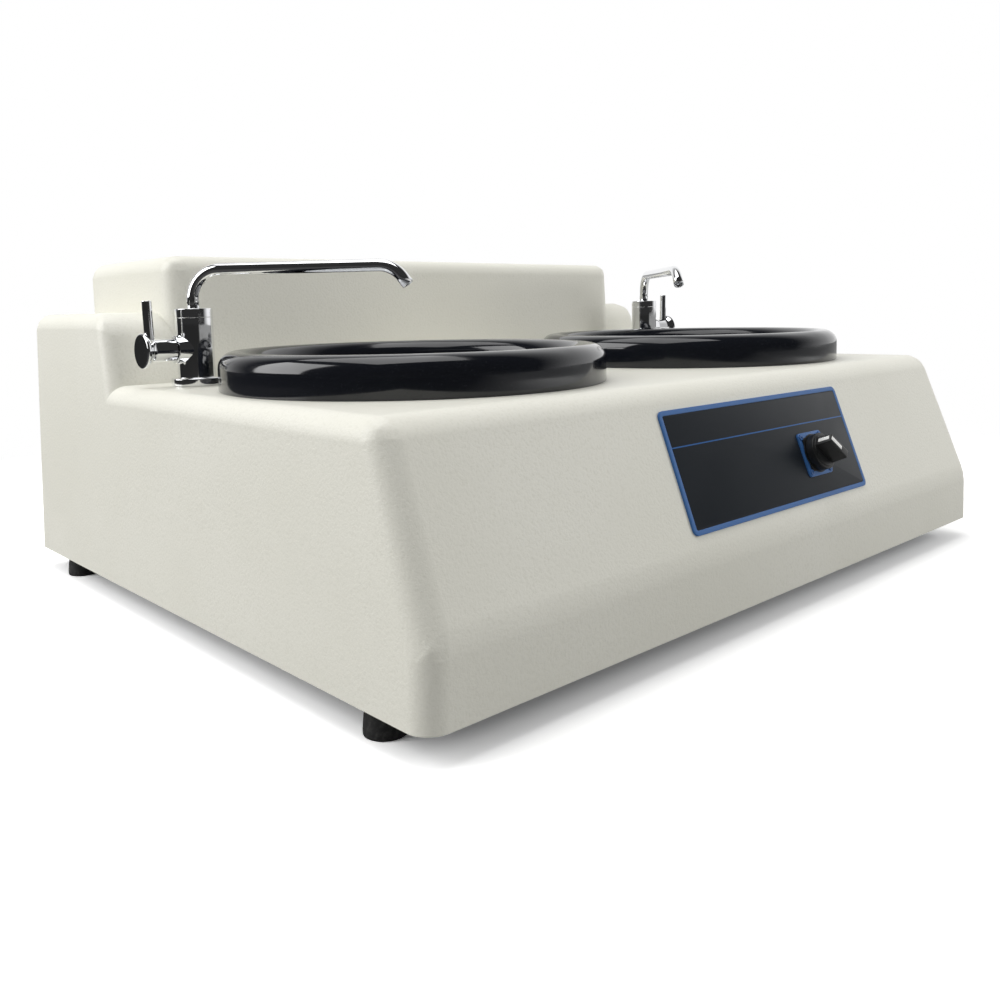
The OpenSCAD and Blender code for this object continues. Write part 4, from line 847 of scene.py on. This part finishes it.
belt = Finish("belt_fabric")
weave = belt.add("ShaderNodeTexVoronoi", {"feature": "F1"}, {"Vector": belt.place(), "Scale": 900.0})
worn = belt.noise(14 * mm, 3.0)
belt.set(Base_Color=belt.mix(worn, (0.020, 0.020, 0.020), (0.055, 0.053, 0.050)),
         Roughness=belt.ramp(worn, 0.3, 0.7) * 0.15 + 0.65, Normal=belt.bump(weave, 0.15 * mm, 0.7))
inner = {
    "zinc_sheet": (surface("zinc_sheet", (0.50, 0.53, 0.56), (0.62, 0.64, 0.66), 0.30, 5 * mm, 0.03 * mm),
                   "base_plate"),
    "zinc_bolts": (surface("zinc_bolts", (0.55, 0.56, 0.58), (0.68, 0.69, 0.70), 0.24, 1.5 * mm, 0.02 * mm),
                   "foot_screws shell_screws housing_bolts motor_bolts"),
    "frame_enamel": (surface("frame_enamel", (0.13, 0.145, 0.17), (0.17, 0.185, 0.21),
                             0.38, 2.5 * mm, 0.06 * mm, 0.0),
                     "drive_frame"),
    "ground_steel": (surface("ground_steel", (0.58, 0.59, 0.61), (0.70, 0.71, 0.72),
                             0.16, 0.7 * mm, 0.01 * mm),
                     "left_spindle right_spindle left_bearings right_bearings motor_rotor"),
    "grey_iron": (surface("grey_iron", (0.16, 0.165, 0.17), (0.26, 0.265, 0.27),
                          0.42, 1.1 * mm, 0.10 * mm, 0.85),
                  "left_pulley right_pulley motor_pulley left_housing right_housing"),
    "motor_enamel": (surface("motor_enamel", (0.075, 0.12, 0.17), (0.10, 0.15, 0.21),
                             0.34, 1.8 * mm, 0.05 * mm, 0.0),
                     "motor_body motor_terminal_box"),
    "cover_black": (surface("cover_black", (0.022, 0.022, 0.024), (0.036, 0.036, 0.040),
                            0.46, 0.9 * mm, 0.05 * mm, 0.0),
                    "motor_fan_cover cable_gland switch_body"),
    "raw_brass": (surface("raw_brass", (0.56, 0.40, 0.16), (0.70, 0.53, 0.26), 0.28, 3 * mm, 0.03 * mm),
                  "left_tap_nut right_tap_nut water_inlet"),
    "copper_pipe": (surface("copper_pipe", (0.55, 0.26, 0.15), (0.72, 0.38, 0.25), 0.26, 6 * mm, 0.02 * mm),
                    "left_supply_pipe right_supply_pipe"),
    "pipe_plastic": (surface("pipe_plastic", (0.30, 0.32, 0.33), (0.38, 0.40, 0.41),
                             0.40, 7 * mm, 0.03 * mm, 0.0),
                     "drain_pipe"),
    "belt_fabric": (belt, "left_belt right_belt")}
for finish_name, (made, names) in inner.items():
    for name in names.split():
        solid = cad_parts[name]
        solid.data.materials.clear()
        solid.data.materials.append(made.material)
    print(finish_name, "->", names)

# %% [markdown]
# ## Lamps, floor and background
# The photograph is a cut-out on white. Its left wall is bright, its front is darker, and the rounded
# corner between them is darkest, so no light came from beside the camera. Three soft boxes repeat that: one
# above, one behind on the left, and one in front on the right, which no mirror shows, because the
# photograph has no glare on the panel. The sky and the floor are white to the camera through their own
# colours. Chrome and lacquer see them dark on the left and in front, and pale on the right and behind, as
# in the photograph, and everything else gets an even, dim fill from them.

# %% Lay the floor
ground = bmesh.new()
bmesh.ops.create_grid(ground, x_segments=1, y_segments=1, size=30)
floor = mesh_object(ground, "floor")
pale = Finish("pale_floor", Roughness=0.9)
seen = pale.add("ShaderNodeLightPath", out="Is Camera Ray")
far = pale.add("ShaderNodeVectorMath", {"operation": "LENGTH"}, {0: pale.place()}, out="Value")
mirrored = pale.add("ShaderNodeLightPath", out="Is Glossy Ray")
to_right = pale.add("ShaderNodeSeparateXYZ", None, {0: pale.place()}, out="X")
in_mirrors = pale.mix(pale.ramp(to_right, -0.6, 0.8), (0.05, 0.05, 0.05), (0.70, 0.70, 0.69))
unseen = pale.mix(mirrored, (0.36, 0.36, 0.355), in_mirrors)
pale.set(Base_Color=pale.mix(seen, unseen, (1.5, 1.5, 1.5)))
pale.shader.inputs["Specular IOR Level"].default_value = 0.0
glow = pale.add("ShaderNodeEmission", None, {"Color": (1, 1, 1, 1), "Strength": 1.0})
blend = pale.add("ShaderNodeMixShader", None, {0: seen * pale.ramp(far, 0.55, 1.1), 2: glow})
pale.tree.links.new(pale.shader.outputs[0], blend.socket.node.inputs[1])
pale.tree.links.new(blend.socket, pale.tree.nodes["Material Output"].inputs["Surface"])
floor.data.materials.append(pale.material)
print("floor nodes:", len(pale.tree.nodes))


# %% Hang the soft boxes
def softbox(name, place, aim, size, power):
    """A large soft lamp that looks at a point. Sizes are in metres and its power is in watts."""
    lamp = bpy.data.objects.new(name, bpy.data.lights.new(name, "AREA"))
    lamp.data.shape, lamp.data.size, lamp.data.size_y = "RECTANGLE", *size
    lamp.data.energy = power
    lamp.location = place
    lamp.rotation_euler = (Vector(aim) - Vector(place)).to_track_quat("-Z", "Y").to_euler()
    bpy.context.scene.collection.objects.link(lamp)
    return lamp


softbox("top_box", place=(-0.3, 0.1, 2.0), aim=(0, 0, 0.2), size=(1.8, 1.4), power=18)
softbox("left_box", place=(-2.0, 1.0, 1.3), aim=(0, 0, 0.15), size=(1.6, 2.0), power=41)
front_box = softbox("front_box", place=(1.9, -1.9, 1.1), aim=(0, 0, 0.15), size=(1.4, 1.4), power=29)
front_box.visible_glossy = False

# %% Give each kind of ray its sky
world = bpy.data.worlds.new("studio")
bpy.context.scene.world = world
world.use_nodes = True
sky = world.node_tree
background = sky.nodes["Background"]


def sky_node(kind, settings=None, sockets=None):
    """Adds a node to the world in the way that Finish.add does to a material."""
    node = sky.nodes.new(kind)
    for name, value in (settings or {}).items():
        setattr(node, name, value)
    for name, value in (sockets or {}).items():
        if isinstance(value, bpy.types.NodeSocket):
            sky.links.new(value, node.inputs[name])
        else:
            node.inputs[name].default_value = value
    return node


ray = sky_node("ShaderNodeLightPath").outputs
direction = sky_node("ShaderNodeTexCoord").outputs["Generated"]
split = sky_node("ShaderNodeSeparateXYZ", None, {0: direction})
fill = sky_node("ShaderNodeMapRange", None, {
    "Value": split.outputs["Y"], "From Min": -0.7, "From Max": 0.6, "To Min": 0.40, "To Max": 0.47})
white_side = (0.8, 0.55, -0.3)
toward_white = sky_node("ShaderNodeVectorMath", {"operation": "DOT_PRODUCT"}, {0: direction, 1: white_side})
mirror = sky_node("ShaderNodeMapRange", None, {
    "Value": toward_white.outputs["Value"], "From Min": 0.0, "From Max": 0.5, "To Min": 0.03, "To Max": 1.0})
shiny = sky_node("ShaderNodeMath", {"operation": "MAXIMUM"},
                 {0: ray["Is Glossy Ray"], 1: ray["Is Transmission Ray"]})
reflected = sky_node("ShaderNodeMix", None, {0: shiny.outputs[0], 2: fill.outputs[0], 3: mirror.outputs[0]})
seen_sky = sky_node("ShaderNodeMix", None, {0: ray["Is Camera Ray"], 2: reflected.outputs[0], 3: 1.0})
sky.links.new(seen_sky.outputs[0], background.inputs["Strength"])
background.inputs["Color"].default_value = (1, 1, 1, 1)
bpy.context.scene.view_settings.view_transform = "Standard"
print("sky nodes:", len(sky.nodes))
